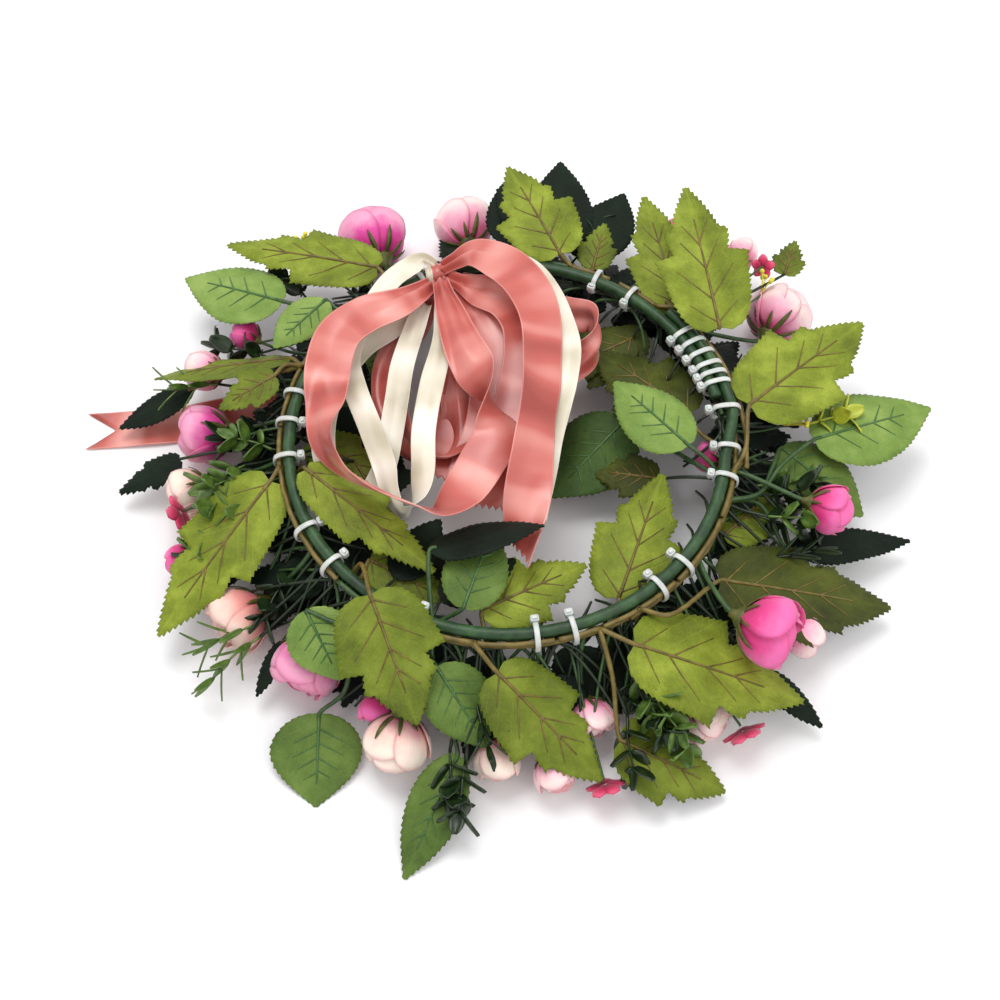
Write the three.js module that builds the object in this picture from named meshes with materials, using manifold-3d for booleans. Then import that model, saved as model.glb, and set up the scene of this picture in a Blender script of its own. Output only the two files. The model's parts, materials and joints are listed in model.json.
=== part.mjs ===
// A flower crown lying face down: a tape-wrapped wire ring, flower and leaf picks tied on with
// cable ties, and a bunch of satin ribbons that swings about the ring.
// Millimetres, +Z up. Everything is placed from the ring's centre; the finished group is then
// shifted so that its origin is the middle of the crown's footprint on the ground.
import * as THREE from "three";
import * as BufferGeometryUtils from "three/addons/utils/BufferGeometryUtils.js";
import Module from "manifold-3d";

const wasm = await Module();
wasm.setup();

// Driving dimensions.
const RING_RADIUS = 90; // centreline of the wire ring, a 565 mm head circumference
const RING_HEIGHT = 40; // ring centreline above the ground
const TAPE_RADIUS = 2.4; // outside of the tape wrap
const TAPE_WALL = 0.6;
const WIRE_RADIUS = 1.35; // steel wire, 0.4 mm clear inside the wrap
const OVERLAP_START = 12; // degrees where the inner strand of the ring begins
const OVERLAP_END = 42; // degrees where the outer strand ends
const STRAND_STEP = 5.3; // the outer strand lies this far outside the inner one
const STRAND_LEAD = 20; // degrees over which the outer strand moves out
const RING_STATIONS = 52;

const STEM_RADIUS = 1.1;
const PETIOLE_RADIUS = 0.9;
const LEAF_THICKNESS = 1;
const LEAF_FOLD = -0.12; // the blade falls away to both sides of its midrib

const TIE_WIDTH = 2.6; // cable tie strap, measured along the ring
const TIE_THICKNESS = 0.9;
const TIE_HEAD = [3.6, 3.4, 3.4]; // radial, along the ring, up

const CORAL_WIDTH = 19;
const CREAM_WIDTH = 9.5;
const RIBBON_THICKNESS = 0.8;
const KNOT_ANGLE = 110; // degrees round the ring
const KNOT_LENGTH = 13;
const KNOT_RADIUS = 4.6;
const KNOT_BORE = 3.1;

const COLOURS = {
  wire: 0x8d8f91,
  tape: 0x2f5d3a,
  nylon: 0xeef0ee,
  maple: 0x8f9a3a,
  rose: 0x5f9150,
  pink: 0xe0528f,
  peach: 0xf0c3ae,
  coral: 0xe88a82,
  cream: 0xf3ead6,
};

// Half outlines of the two leaf kinds, base to tip. Each row is the share of the length where the
// edge point lies, how far out it is as a share of the length, and where its midrib point lies.
const MAPLE = [
  [0.0, 0.03, 0.0],
  [0.03, 0.2, 0.06],
  [0.28, 0.34, 0.2],
  [0.36, 0.23, 0.34],
  [0.6, 0.29, 0.48],
  [0.66, 0.14, 0.66],
  [1.0, 0.012, 1.0],
];
const ROSE = [
  [0.0, 0.03, 0.0],
  [0.1, 0.19, 0.1],
  [0.32, 0.3, 0.32],
  [0.58, 0.29, 0.58],
  [0.8, 0.17, 0.8],
  [1.0, 0.012, 1.0],
];

// Stems run along the ring in lanes: [out from the ring's centreline, up from it].
const OUTER = [4.1, -0.6];
const LOWER = [2.6, -4.2];
const INNER = [-1.0, -4.6];

const SPRAYS = [
  {
    name: "leaf_spray_back", colour: "maple", lane: OUTER, run: [61, 72],
    leaves: [
      { outline: MAPLE, base: [24, 94, 3], heading: 118, rise: 13, length: 50 },
      { outline: MAPLE, via: [[38, 90, -4]], base: [39, 94, -7], heading: 75, rise: 12, length: 24 },
      { outline: ROSE, via: [[28, 96, -8]], base: [25, 105, -9], heading: 89, rise: 3, length: 56, width: 0.8 },
      { outline: ROSE, via: [[26, 100, -9]], base: [21, 112, -9], heading: 127, rise: 0, length: 42, width: 0.9 },
    ],
  },
  {
    name: "leaf_spray_back_right", colour: "maple", lane: OUTER, run: [58, 46],
    leaves: [
      { outline: MAPLE, base: [76, 67, -3], heading: 103, rise: 12, length: 60, width: 0.75 },
      { outline: MAPLE, via: [[78, 64, 2]], base: [91, 50, 7], heading: 100, rise: 15, length: 69, width: 0.8 },
    ],
  },
  {
    name: "leaf_spray_right", colour: "maple", lane: OUTER, run: [336, 350],
    leaves: [
      { outline: MAPLE, via: [[98, -7, 0]], base: [101, 13, 3], heading: 40, rise: 1, length: 70, width: 0.85 },
      { outline: MAPLE, via: [[99, -8, -4], [97, -1, -9], [87, 3, -10], [80, 9, -9]], base: [78, 17, -9], heading: 137, rise: -2, length: 53 },
    ],
  },
  {
    name: "leaf_spray_outer_right", colour: "rose", lane: LOWER, run: [336, 342],
    leaves: [
      { outline: ROSE, via: [[103, -24, -7], [114, -10, -7]], base: [129, 3, -8], heading: 20, rise: -2, length: 57 },
      { outline: ROSE, via: [[103, -24, -8], [110, -11, -9]], base: [116, 2, -13], heading: 318, rise: -6, length: 44, width: 1.15 },
      { outline: ROSE, via: [[104, -26, -12]], base: [115, -43, -20], heading: 9, rise: -5, length: 55, width: 0.5 },
    ],
  },
  {
    name: "leaf_spray_inner_right", colour: "rose", lane: INNER, run: [334, 349],
    leaves: [
      { outline: ROSE, via: [[82, -12, 0]], base: [74, -8, 5], heading: 131, rise: 0, length: 44 },
      { outline: ROSE, via: [[78, -10, -6], [64, 4, -11]], base: [51, 17, -14], heading: 225, rise: -10, length: 47, width: 1.25 },
    ],
  },
  {
    name: "leaf_spray_front_right", colour: "maple", lane: OUTER, run: [314, 303],
    leaves: [
      { outline: MAPLE, via: [[62, -82, 0]], base: [84, -64, -6], heading: 359, rise: -14, length: 76, width: 0.8 },
      { outline: MAPLE, via: [[49, -80, -9]], base: [44, -70, -10], heading: 70, rise: 5, length: 60, width: 0.85 },
    ],
  },
  {
    name: "leaf_spray_front", colour: "maple", lane: OUTER, run: [282, 292],
    leaves: [
      { outline: MAPLE, base: [48, -94, 0], heading: 347, rise: -13, length: 71, width: 0.85 },
      { outline: MAPLE, via: [[40, -104, -8]], base: [43, -125, -20], heading: 339, rise: -15, length: 46, width: 1 },
    ],
  },
  {
    name: "leaf_spray_front_middle", colour: "maple", lane: OUTER, run: [252, 262],
    leaves: [
      { outline: MAPLE, base: [-4, -104, -4], heading: 318, rise: -18, length: 57, width: 0.88 },
      { outline: MAPLE, via: [[-8, -91, -8]], base: [-10, -78, -4], heading: 28, rise: -2, length: 47, width: 0.88 },
    ],
  },
  {
    name: "leaf_spray_front_rose", colour: "rose", lane: INNER, run: [238, 251],
    leaves: [
      { outline: ROSE, via: [[-30, -94, -9]], base: [-27, -101, -6], heading: 305, rise: -17, length: 36, width: 1.2 },
      { outline: ROSE, via: [[-29, -96, -10], [-24, -112, -18]], base: [-19, -130, -23], heading: 245, rise: -16, length: 50, width: 0.7 },
      { outline: ROSE, via: [[-24, -82, -3]], base: [-17, -80, 2], heading: 71, rise: 7, length: 31, width: 1.1 },
      { outline: ROSE, via: [[-30, -74, 0]], base: [-28, -57, 7], heading: 14, rise: 9, length: 39, width: 0.6, roll: -50 },
    ],
  },
  {
    name: "leaf_spray_front_left", colour: "maple", lane: INNER, run: [215, 226],
    leaves: [
      { outline: MAPLE, via: [[-57, -62, 4]], base: [-52, -79, 12], heading: 292, rise: -17, length: 52, width: 1.15 },
      { outline: MAPLE, via: [[-58, -62, -8]], base: [-55, -54, -8], heading: 334, rise: -6, length: 36, width: 1 },
    ],
  },
  {
    name: "leaf_spray_left_rose", colour: "rose", lane: OUTER, run: [226, 234],
    leaves: [
      { outline: ROSE, via: [[-62, -84, -4]], base: [-78, -79, -2], heading: 299, rise: -19, length: 30, width: 1.4 },
      { outline: ROSE, via: [[-60, -92, -12], [-64, -104, -24]], base: [-74, -110, -31], heading: 270, rise: -13, length: 36, width: 1.6 },
    ],
  },
  {
    name: "leaf_spray_left", colour: "maple", lane: OUTER, run: [178, 189],
    leaves: [
      { outline: MAPLE, base: [-96, -22, 0], heading: 234, rise: -13, length: 76, width: 0.66 },
      { outline: MAPLE, via: [[-90, -16, -8], [-84, -15, -2]], base: [-81, -20, 6], heading: 321, rise: -3, length: 68, width: 0.52 },
    ],
  },
  {
    name: "leaf_spray_left_back", colour: "maple", lane: OUTER, run: [147, 158],
    leaves: [
      { outline: MAPLE, via: [[-94, 34, 2]], base: [-98, 28, 3], heading: 210, rise: -9, length: 27, width: 1 },
      { outline: ROSE, base: [-93, 42, -4], heading: 180, rise: -9, length: 63, width: 0.5, roll: 30 },
      { outline: ROSE, via: [[-96, 38, -8], [-118, 42, -16]], base: [-139, 40, -24], heading: 206, rise: -12, length: 37, width: 0.6 },
    ],
  },
  {
    name: "leaf_spray_back_left_rose", colour: "rose", lane: OUTER, run: [129, 137],
    leaves: [
      { outline: ROSE, via: [[-75, 66, 0]], base: [-79, 69, 2], heading: 231, rise: 3, length: 33 },
      { outline: ROSE, via: [[-76, 68, -5]], base: [-100, 76, -8], heading: 158, rise: -5, length: 51 },
    ],
  },
  {
    name: "leaf_spray_back_left", colour: "maple", lane: OUTER, run: [126, 120],
    leaves: [
      { outline: MAPLE, via: [[-51.5, 83.5, -4.5]], base: [-58, 92, -4], heading: 165, rise: -2, length: 73, width: 0.6 },
    ],
  },
];

// Blossoms: centre of the head, the way its face points (heading, then pitch below level) and its size.
const BLOSSOMS = [
  { name: "blossom_back_left", colour: "pink", run: [131, 122], at: [-64, 127, -25], heading: 112, pitch: 5, radius: 16 },
  { name: "blossom_back", colour: "pink", run: [86, 96], at: [-20, 136, -27], heading: 100, pitch: 10, radius: 14 },
  { name: "blossom_back_right", colour: "peach", run: [49, 43], at: [125, 82, -25], heading: 60, pitch: 0, radius: 14 },
  { name: "blossom_right", colour: "pink", run: [345, 351], at: [132, -32, -6], heading: 345, pitch: 10, radius: 10 },
  { name: "blossom_front_right", colour: "pink", run: [333, 325], at: [101, -91, 4], heading: 335, pitch: 5, radius: 14 },
  { name: "blossom_front", colour: "peach", run: [298, 289], at: [33, -115, -27], heading: 290, pitch: 20, radius: 9.5 },
  { name: "blossom_front_left", colour: "peach", run: [252, 246], at: [-43, -125, -27], heading: 258, pitch: 35, radius: 13 },
  { name: "blossom_left_front", colour: "pink", run: [239, 232], at: [-80, -93, -27], heading: 240, pitch: 20, radius: 14 },
  { name: "blossom_left", colour: "peach", run: [206, 213], at: [-110, -72, -27], heading: 215, pitch: 10, radius: 13.5 },
  { name: "blossom_left_back", colour: "pink", run: [166, 172], at: [-133, 18, -27], heading: 180, pitch: 10, radius: 12.5 },
  { name: "blossom_left_low", colour: "peach", run: [179, 185], at: [-138, -10, -30], heading: 195, pitch: 10, radius: 10.5 },
  { name: "blossom_front_low", colour: "peach", run: [314, 306], at: [78, -114, -30], heading: 310, pitch: 15, radius: 10 },
];

// Head shape of a blossom, calyx to face: [along the axis, out from it] as shares of its radius.
const BLOSSOM_PROFILE = [
  [-1.0, 0.12],
  [-0.86, 0.42],
  [-0.45, 0.85],
  [0.1, 1.0],
  [0.6, 0.86],
  [0.92, 0.5],
  [0.98, 0.15],
];

// Cable ties, in degrees round the ring.
const TIES = [347, 356, 8, 16, 19, 22, 26, 30, 34, 53, 64, 167, 176, 187, 209, 221, 248, 277, 286, 310, 319];

// Ribbons, from the knot outwards: [x, y, height, bank in degrees, share of the full width].
const RIBBONS = [
  {
    name: "ribbon_coral_left", colour: "coral", width: CORAL_WIDTH,
    stations: [
      [-32, 76, 5, 0, 0.35], [-47, 58, 13, 0, 0.85], [-60, 51, 15, 0, 1], [-70, 41, 15, 0, 1],
      [-74, 25, 14, -10, 1], [-74, 8, 13, 15, 0.95], [-74, -8, 14, 50, 0.95], [-69, -20, 16, 80, 0.95],
      [-60, -30, 17, 104, 0.95], [-50, -36, 17, 112, 0.95], [-36, -42, 16, 116, 1], [-26, -43, 13, 135, 1],
      [-18, -34, 12, 165, 1], [-10, -20, 12, 180, 1], [-4, -7, 13, 190, 1], [-6, 8, 15, 260, 1],
      [-13, 22, 16, 330, 1], [-19, 37, 15, 355, 0.85], [-24, 54, 13, 360, 0.65], [-27, 66, 10, 360, 0.45],
      [-29, 75, 8.5, 360, 0.35],
    ],
  },
  {
    name: "ribbon_coral_tail", colour: "coral", width: CORAL_WIDTH,
    stations: [
      [-23, 85, 8, 0, 0.4], [-14, 84, 16, 0, 0.8], [0, 72, 21, 0, 1], [10, 56, 23, -5, 1], [14, 41, 22, -20, 1],
      [14, 18, 19, -36, 1], [12, 0, 18, -36, 1], [10, -18, 15.5, -28, 1], [8, -34, 9, 0, 1], [6, -49, 3, 30, 0.9],
      [4, -63, -1, 45, 0.8],
    ],
  },
  {
    name: "ribbon_coral_middle", colour: "coral", width: CORAL_WIDTH,
    stations: [
      [-21, 76, 5, 0, 0.35], [-10, 68, 9, 0, 0.9], [0, 61, 11, 0, 1], [7, 49, 11, 0, 1], [8, 36, 9, 0, 1],
      [5, 17, 5, 0, 1], [0, -4, 1, 0, 1], [-4, -20, -3, 0, 1], [-6, -33, -5, 0, 1],
    ],
  },
  {
    name: "ribbon_coral_inner", colour: "coral", width: CORAL_WIDTH,
    stations: [
      [-34, 75, -3, 0, 0.35], [-39, 62, -5, 0, 0.7], [-45, 52, -6, 0, 0.8], [-50, 40, -6, 0, 0.8],
      [-50, 24, -8, 10, 0.8], [-45, 8, -10, 40, 0.8], [-36, -3, -10, 80, 0.8], [-27, -5, -9, 110, 0.8],
      [-21, 3, -7, 150, 0.8], [-20, 16, -4, 180, 0.8], [-24, 34, -2, 180, 0.7], [-27, 54, -3, 180, 0.5],
      [-29, 72, -3, 180, 0.3],
    ],
  },
  {
    name: "ribbon_coral_small", colour: "coral", width: CORAL_WIDTH,
    stations: [
      [-20, 82, 1, 0, 0.4], [-2, 74, 1, 0, 0.7], [14, 64, 2, 0, 0.8], [27, 60, 3, 40, 0.8],
      [37, 58, 4, 75, 0.8], [39, 49, 3, 100, 0.8], [35, 41, 1, 130, 0.8], [26, 36, -2, 165, 0.8],
    ],
  },
  {
    name: "ribbon_cream_left", colour: "cream", width: CREAM_WIDTH,
    stations: [
      [-37, 88, 7, 0, 0.5], [-42, 82, 9, 0, 1], [-50, 75, 8, 0, 1], [-57, 64, 6, 0, 1], [-67, 38, 4, 0, 1],
      [-64, 22, 4, 0, 1], [-56, 1, 3, 0, 1], [-50, -16, 3, 10, 1], [-46, -30, 2, 50, 1], [-41, -37, 1.5, 90, 1],
      [-36, -32, 3, 130, 1], [-34, -20, 6, 170, 1], [-34, -4, 9, 180, 1], [-31, 19, 11, 180, 1],
      [-27, 44, 9, 180, 0.9], [-28, 62, 5, 180, 0.7], [-29, 73, 1.5, 180, 0.5],
    ],
  },
  {
    name: "ribbon_cream_outer", colour: "cream", width: CREAM_WIDTH,
    stations: [
      [-36, 76, 1, 0, 0.5], [-48, 56, 0, 0, 1], [-62, 44, -1, 0, 1], [-71, 27, -1, 0, 1], [-76, 8, -1, 0, 1],
      [-75, -9, -5, 0, 1], [-68, -21, -8, 0, 1], [-58, -24, -9, 0, 1], [-51, -14, -5, 0, 1], [-48, -1, 0, 0, 1],
      [-46, 13, 4, 0, 1], [-44, 32, 5, 0, 1], [-39, 54, 4, 0, 0.9], [-36, 66, 3, 0, 0.7],
    ],
  },
  {
    name: "ribbon_cream_right", colour: "cream", width: CREAM_WIDTH,
    stations: [
      [-20, 88, 5, 0, 0.5], [-8, 86, 9, 0, 1], [3, 82, 12, 0, 1], [11, 76, 13, 0, 1], [18, 64, 14, 0, 1],
      [23, 50, 14, 0, 1], [26, 35, 13.5, 0, 1], [24.5, 21, 12, 0, 1], [21.5, 8, 9.5, 0, 1], [18, -5, 6.5, 0, 1],
      [15.5, -18, 3, 0, 1], [13, -29, 0, 0, 1], [11, -38, -3, 0, 1],
    ],
  },
];

// The tail that is pinned under the crown lies along the ground: [x, y, height, bank, width share].
const LOW_TAIL = [
  [-40, 86, -10, 0, 0.6], [-52, 80, -24, 0, 0.8], [-70, 66, -35, 0, 1], [-86, 55, -39, 0, 1], [-110, 42, -39.5, 0, 1],
  [-145, 31, -39.5, 0, 1], [-188, 27, -39.5, 0, 1],
];

const radians = THREE.MathUtils.degToRad;

function material(colour, roughness, metalness = 0) {
  return new THREE.MeshStandardMaterial({ color: COLOURS[colour], roughness, metalness });
}

function roundRing(degrees, out, up) {
  const radius = RING_RADIUS + out;
  return new THREE.Vector3(radius * Math.cos(radians(degrees)), radius * Math.sin(radians(degrees)), up);
}

// A closed body through rings of points, all with the same number of points. The ends are capped,
// or joined to each other when the body goes all the way round. The second half of a ring mirrors
// the first half's diagonals, so that both faces of a twisted strip bend alike.
function loft(rings, goesRound = false) {
  const count = rings[0].length;
  const indices = [];
  const last = goesRound ? rings.length : rings.length - 1;
  for (let i = 0; i < last; i++) {
    const here = i * count;
    const next = ((i + 1) % rings.length) * count;
    for (let j = 0; j < count; j++) {
      const k = (j + 1) % count;
      if (j < count / 2) indices.push(here + j, here + k, next + k, here + j, next + k, next + j);
      else indices.push(here + j, here + k, next + j, here + k, next + k, next + j);
    }
  }
  if (!goesRound) {
    const end = (rings.length - 1) * count;
    for (let j = 1; j < count - 1; j++) {
      indices.push(0, j + 1, j);
      indices.push(end, end + j, end + j + 1);
    }
  }
  const geometry = new THREE.BufferGeometry();
  geometry.setAttribute("position", new THREE.Float32BufferAttribute(rings.flat().flatMap((p) => p.toArray()), 3));
  geometry.setIndex(indices);
  return geometry;
}

function toSolid(geometry) {
  const bare = geometry.index ? geometry.clone() : geometry;
  for (const key of Object.keys(bare.attributes)) if (key !== "position") bare.deleteAttribute(key);
  const merged = BufferGeometryUtils.mergeVertices(bare, 1e-4);
  return new wasm.Manifold(
    new wasm.Mesh({
      numProp: 3,
      vertProperties: Float32Array.from(merged.attributes.position.array),
      triVerts: Uint32Array.from(merged.index.array),
    }),
  );
}

function toGeometry(solid) {
  const mesh = solid.getMesh();
  const geometry = new THREE.BufferGeometry();
  geometry.setAttribute("position", new THREE.BufferAttribute(Float32Array.from(mesh.vertProperties), 3));
  geometry.setIndex(new THREE.BufferAttribute(Uint32Array.from(mesh.triVerts), 1));
  geometry.computeVertexNormals();
  return geometry;
}

function joined(geometries) {
  return toGeometry(geometries.map(toSolid).reduce((whole, piece) => whole.add(piece)));
}

// A round bar along a smooth curve through the points.
function bar(points, radius, sides = 5, steps = points.length + 1) {
  const curve = new THREE.CatmullRomCurve3(points, false, "centripetal");
  const frames = curve.computeFrenetFrames(steps, false);
  const rings = [];
  for (let i = 0; i <= steps; i++) {
    const centre = curve.getPointAt(i / steps);
    rings.push(
      Array.from({ length: sides }, (_, j) => {
        const turn = (2 * Math.PI * j) / sides;
        return centre
          .clone()
          .addScaledVector(frames.normals[i], radius * Math.cos(turn))
          .addScaledVector(frames.binormals[i], radius * Math.sin(turn));
      }),
    );
  }
  return loft(rings);
}

// How far outside the ring's circle its centreline lies: the outer end lies beside the inner one.
function strandOffset(degrees) {
  const lead = 360 + OVERLAP_START - STRAND_LEAD;
  return STRAND_STEP * THREE.MathUtils.smoothstep(degrees, lead, 360 + OVERLAP_START - 2);
}

// A tube along the ring, one turn and a little more. Extra stations carry it past both ends.
function ringTube(radius, sides, extra = 0) {
  const step = (360 + OVERLAP_END - OVERLAP_START) / RING_STATIONS;
  const rings = [];
  for (let i = -extra; i <= RING_STATIONS + extra; i++) {
    const degrees = OVERLAP_START + i * step;
    const offset = strandOffset(degrees);
    rings.push(
      Array.from({ length: sides }, (_, j) => {
        const turn = (2 * Math.PI * (j + 0.5)) / sides;
        return roundRing(degrees, offset + radius * Math.cos(turn), radius * Math.sin(turn));
      }),
    );
  }
  return loft(rings.map((ring) => ring.reverse()));
}

function ringWire() {
  return ringTube(WIRE_RADIUS, 5);
}

function ringTape() {
  const outside = toSolid(ringTube(TAPE_RADIUS, 8));
  const bore = toSolid(ringTube(TAPE_RADIUS - TAPE_WALL, 6, 1));
  return toGeometry(outside.subtract(bore));
}

// A cable tie: a strap round the ring and the stems that lie beside it, with a square head inside.
function cableTie(degrees) {
  const atOverlap = degrees > OVERLAP_START - 8 && degrees < OVERLAP_END;
  const reach = atOverlap ? STRAND_STEP + TAPE_RADIUS + 0.4 : OUTER[0] + STEM_RADIUS + 0.5;
  const left = -TAPE_RADIUS - 0.5;
  const right = reach;
  const top = TAPE_RADIUS + 0.5;
  const bottom = INNER[1] - STEM_RADIUS - 0.5;
  const bevel = 1.4;
  const section = [
    [left, bottom + bevel], [left, top - bevel], [left + bevel, top], [right - bevel, top],
    [right, top - bevel], [right, bottom + bevel], [right - bevel, bottom], [left + bevel, bottom],
  ];
  const middle = [(left + right) / 2, (top + bottom) / 2];
  const along = new THREE.Vector3(-Math.sin(radians(degrees)), Math.cos(radians(degrees)), 0);
  const rings = section.map(([out, up]) => {
    const grown = [
      out + Math.sign(out - middle[0]) * TIE_THICKNESS,
      up + Math.sign(up - middle[1]) * TIE_THICKNESS,
    ];
    return [
      roundRing(degrees, out, up).addScaledVector(along, -TIE_WIDTH / 2),
      roundRing(degrees, out, up).addScaledVector(along, TIE_WIDTH / 2),
      roundRing(degrees, ...grown).addScaledVector(along, TIE_WIDTH / 2),
      roundRing(degrees, ...grown).addScaledVector(along, -TIE_WIDTH / 2),
    ];
  });
  const head = new THREE.BoxGeometry(...TIE_HEAD);
  head.rotateZ(radians(degrees));
  const seat = roundRing(degrees, left - TIE_HEAD[0] / 2 - TIE_THICKNESS / 2, top - TIE_HEAD[2] / 2);
  head.translate(seat.x, seat.y, seat.z);
  return joined([loft(rings, true), head]);
}

function leafFrame(leaf) {
  return new THREE.Matrix4()
    .makeTranslation(...leaf.base)
    .multiply(new THREE.Matrix4().makeRotationZ(radians(leaf.heading)))
    .multiply(new THREE.Matrix4().makeRotationY(-radians(leaf.rise)))
    .multiply(new THREE.Matrix4().makeRotationX(radians(leaf.roll ?? 0)));
}

function leafBlade(leaf) {
  const frame = leafFrame(leaf);
  const half = LEAF_THICKNESS / 2;
  const rings = leaf.outline.map(([edge, out, middle]) => {
    const along = edge * leaf.length;
    const across = out * leaf.length * (leaf.width ?? 1);
    const rib = middle * leaf.length;
    const fall = LEAF_FOLD * across;
    return [
      [along, across, fall - half], [along, across, fall + half], [rib, 0, half],
      [along, -across, fall + half], [along, -across, fall - half], [rib, 0, -half],
    ].map((p) => new THREE.Vector3(...p).applyMatrix4(frame));
  });
  return loft(rings);
}

function laneRun(lane, from, to) {
  const steps = Math.max(2, Math.round(Math.abs(to - from) / 4));
  return Array.from({ length: steps + 1 }, (_, i) => {
    return roundRing(THREE.MathUtils.lerp(from, to, i / steps), lane[0], lane[1]);
  });
}

function leafSpray(spray) {
  const stem = laneRun(spray.lane, ...spray.run);
  const fork = stem[stem.length - 1];
  const pieces = [bar(stem, STEM_RADIUS)];
  for (const leaf of spray.leaves) {
    const frame = leafFrame(leaf);
    const bends = (leaf.via ?? []).map((p) => new THREE.Vector3(...p));
    const joint = new THREE.Vector3(...leaf.base);
    const end = new THREE.Vector3(0.2 * leaf.length, 0, 0).applyMatrix4(frame);
    pieces.push(bar([fork, ...bends, joint, end], PETIOLE_RADIUS, 4));
    pieces.push(leafBlade(leaf));
  }
  return joined(pieces);
}

function blossom(flower) {
  const turn = new THREE.Matrix4()
    .makeTranslation(...flower.at)
    .multiply(new THREE.Matrix4().makeRotationZ(radians(flower.heading)))
    .multiply(new THREE.Matrix4().makeRotationY(radians(flower.pitch)));
  const sides = 8;
  const rings = BLOSSOM_PROFILE.map(([along, out]) => {
    return Array.from({ length: sides }, (_, j) => {
      const angle = (2 * Math.PI * j) / sides;
      const reach = out * flower.radius;
      return new THREE.Vector3(along * flower.radius, reach * Math.cos(angle), reach * Math.sin(angle))
        .applyMatrix4(turn);
    });
  });
  const neck = new THREE.Vector3(-1.3 * flower.radius, 0, 0).applyMatrix4(turn);
  const heart = new THREE.Vector3(-0.8 * flower.radius, 0, 0).applyMatrix4(turn);
  const run = laneRun(LOWER, ...flower.run);
  const stem = bar([...run, neck, heart], STEM_RADIUS, 5, 9);
  const ground = new THREE.BoxGeometry(60, 60, 40);
  ground.translate(flower.at[0], flower.at[1], -RING_HEIGHT - 20);
  const head = toSolid(loft(rings)).subtract(toSolid(ground));
  return toGeometry(head.add(toSolid(stem)));
}

// A flat ribbon through its stations. Bank turns its width about its path, and 0 lies flat.
function ribbon(stations, width) {
  const path = new THREE.CatmullRomCurve3(stations.map(([x, y, z]) => new THREE.Vector3(x, y, z)), false, "centripetal");
  const steps = (stations.length - 1) * 2;
  const up = new THREE.Vector3(0, 0, 1);
  const rings = [];
  for (let i = 0; i <= steps; i++) {
    const share = i / steps;
    const place = share * (stations.length - 1);
    const before = Math.min(Math.floor(place), stations.length - 2);
    const part = place - before;
    const bank = radians(THREE.MathUtils.lerp(stations[before][3], stations[before + 1][3], part));
    const half = (width / 2) * THREE.MathUtils.lerp(stations[before][4], stations[before + 1][4], part);
    const centre = path.getPoint(share);
    const forward = path.getTangent(share);
    const level = new THREE.Vector3().crossVectors(up, forward).normalize();
    const side = level.applyAxisAngle(forward, bank);
    const face = new THREE.Vector3().crossVectors(forward, side);
    const corner = (a, b) => centre.clone().addScaledVector(side, a * half).addScaledVector(face, (b * RIBBON_THICKNESS) / 2);
    rings.push([corner(1, -1), corner(1, 1), corner(-1, 1), corner(-1, -1)]);
  }
  return loft(rings);
}

function ribbonKnot() {
  const along = new THREE.Vector3(-Math.sin(radians(KNOT_ANGLE)), Math.cos(radians(KNOT_ANGLE)), 0);
  const middle = roundRing(KNOT_ANGLE, 0, 0);
  const end = (share) => middle.clone().addScaledVector(along, share * KNOT_LENGTH);
  const body = toSolid(bar([end(-0.5), middle, end(0.5)], KNOT_RADIUS, 10, 2));
  const bore = toSolid(bar([end(-1), middle, end(1)], KNOT_BORE, 8, 2));
  return toGeometry(body.subtract(bore));
}

const crown = new THREE.Group();

function add(name, geometry, look) {
  const mesh = new THREE.Mesh(geometry, look);
  mesh.name = name;
  crown.add(mesh);
}

add("ring_core_wire", ringWire(), material("wire", 0.4, 1));
add("ring_tape_wrap", ringTape(), material("tape", 0.55));
for (const degrees of TIES) {
  add(`cable_tie_${String(degrees).padStart(3, "0")}`, cableTie(degrees), material("nylon", 0.4));
}
for (const spray of SPRAYS) add(spray.name, leafSpray(spray), material(spray.colour, 0.8));
for (const flower of BLOSSOMS) add(flower.name, blossom(flower), material(flower.colour, 0.8));
add("ribbon_knot", ribbonKnot(), material("coral", 0.45));
for (const strip of RIBBONS) add(strip.name, ribbon(strip.stations, strip.width), material(strip.colour, 0.45));
add("ribbon_low_tail", ribbon(LOW_TAIL, CORAL_WIDTH), material("coral", 0.45));

// The origin goes to the middle of the footprint, on the ground.
const box = new THREE.Box3().setFromObject(crown);
const middle = box.getCenter(new THREE.Vector3());
crown.position.set(-middle.x, -middle.y, -box.min.z);

export default crown;
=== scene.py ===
"""The looks of a flower crown that lies face down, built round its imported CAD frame."""

import json
import math
import random

import bpy
import numpy as np
from mathutils import Matrix, Vector, noise


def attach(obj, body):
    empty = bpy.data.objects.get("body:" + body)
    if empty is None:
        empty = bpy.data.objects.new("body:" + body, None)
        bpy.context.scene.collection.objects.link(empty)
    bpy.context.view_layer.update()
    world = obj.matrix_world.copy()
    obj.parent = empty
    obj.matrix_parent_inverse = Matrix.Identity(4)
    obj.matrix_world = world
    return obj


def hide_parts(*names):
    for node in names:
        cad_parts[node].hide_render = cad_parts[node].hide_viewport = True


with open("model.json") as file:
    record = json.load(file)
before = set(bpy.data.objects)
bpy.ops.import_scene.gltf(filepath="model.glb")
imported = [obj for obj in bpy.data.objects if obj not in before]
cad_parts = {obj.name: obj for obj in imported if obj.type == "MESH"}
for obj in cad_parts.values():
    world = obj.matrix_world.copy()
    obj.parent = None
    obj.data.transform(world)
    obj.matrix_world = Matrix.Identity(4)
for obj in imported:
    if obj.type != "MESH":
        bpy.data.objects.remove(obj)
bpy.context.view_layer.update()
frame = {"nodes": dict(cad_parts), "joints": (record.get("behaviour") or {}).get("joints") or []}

MM = 0.001
RING_RADIUS = 90  # centreline of the ring, in millimetres, as every size below
TAPE_RADIUS = 2.4
OVERLAP_START = 12  # degrees where the inner strand of the ring begins
OVERLAP_END = 42  # degrees where the outer strand ends
STRAND_STEP = 5.3
STRAND_LEAD = 20
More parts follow.
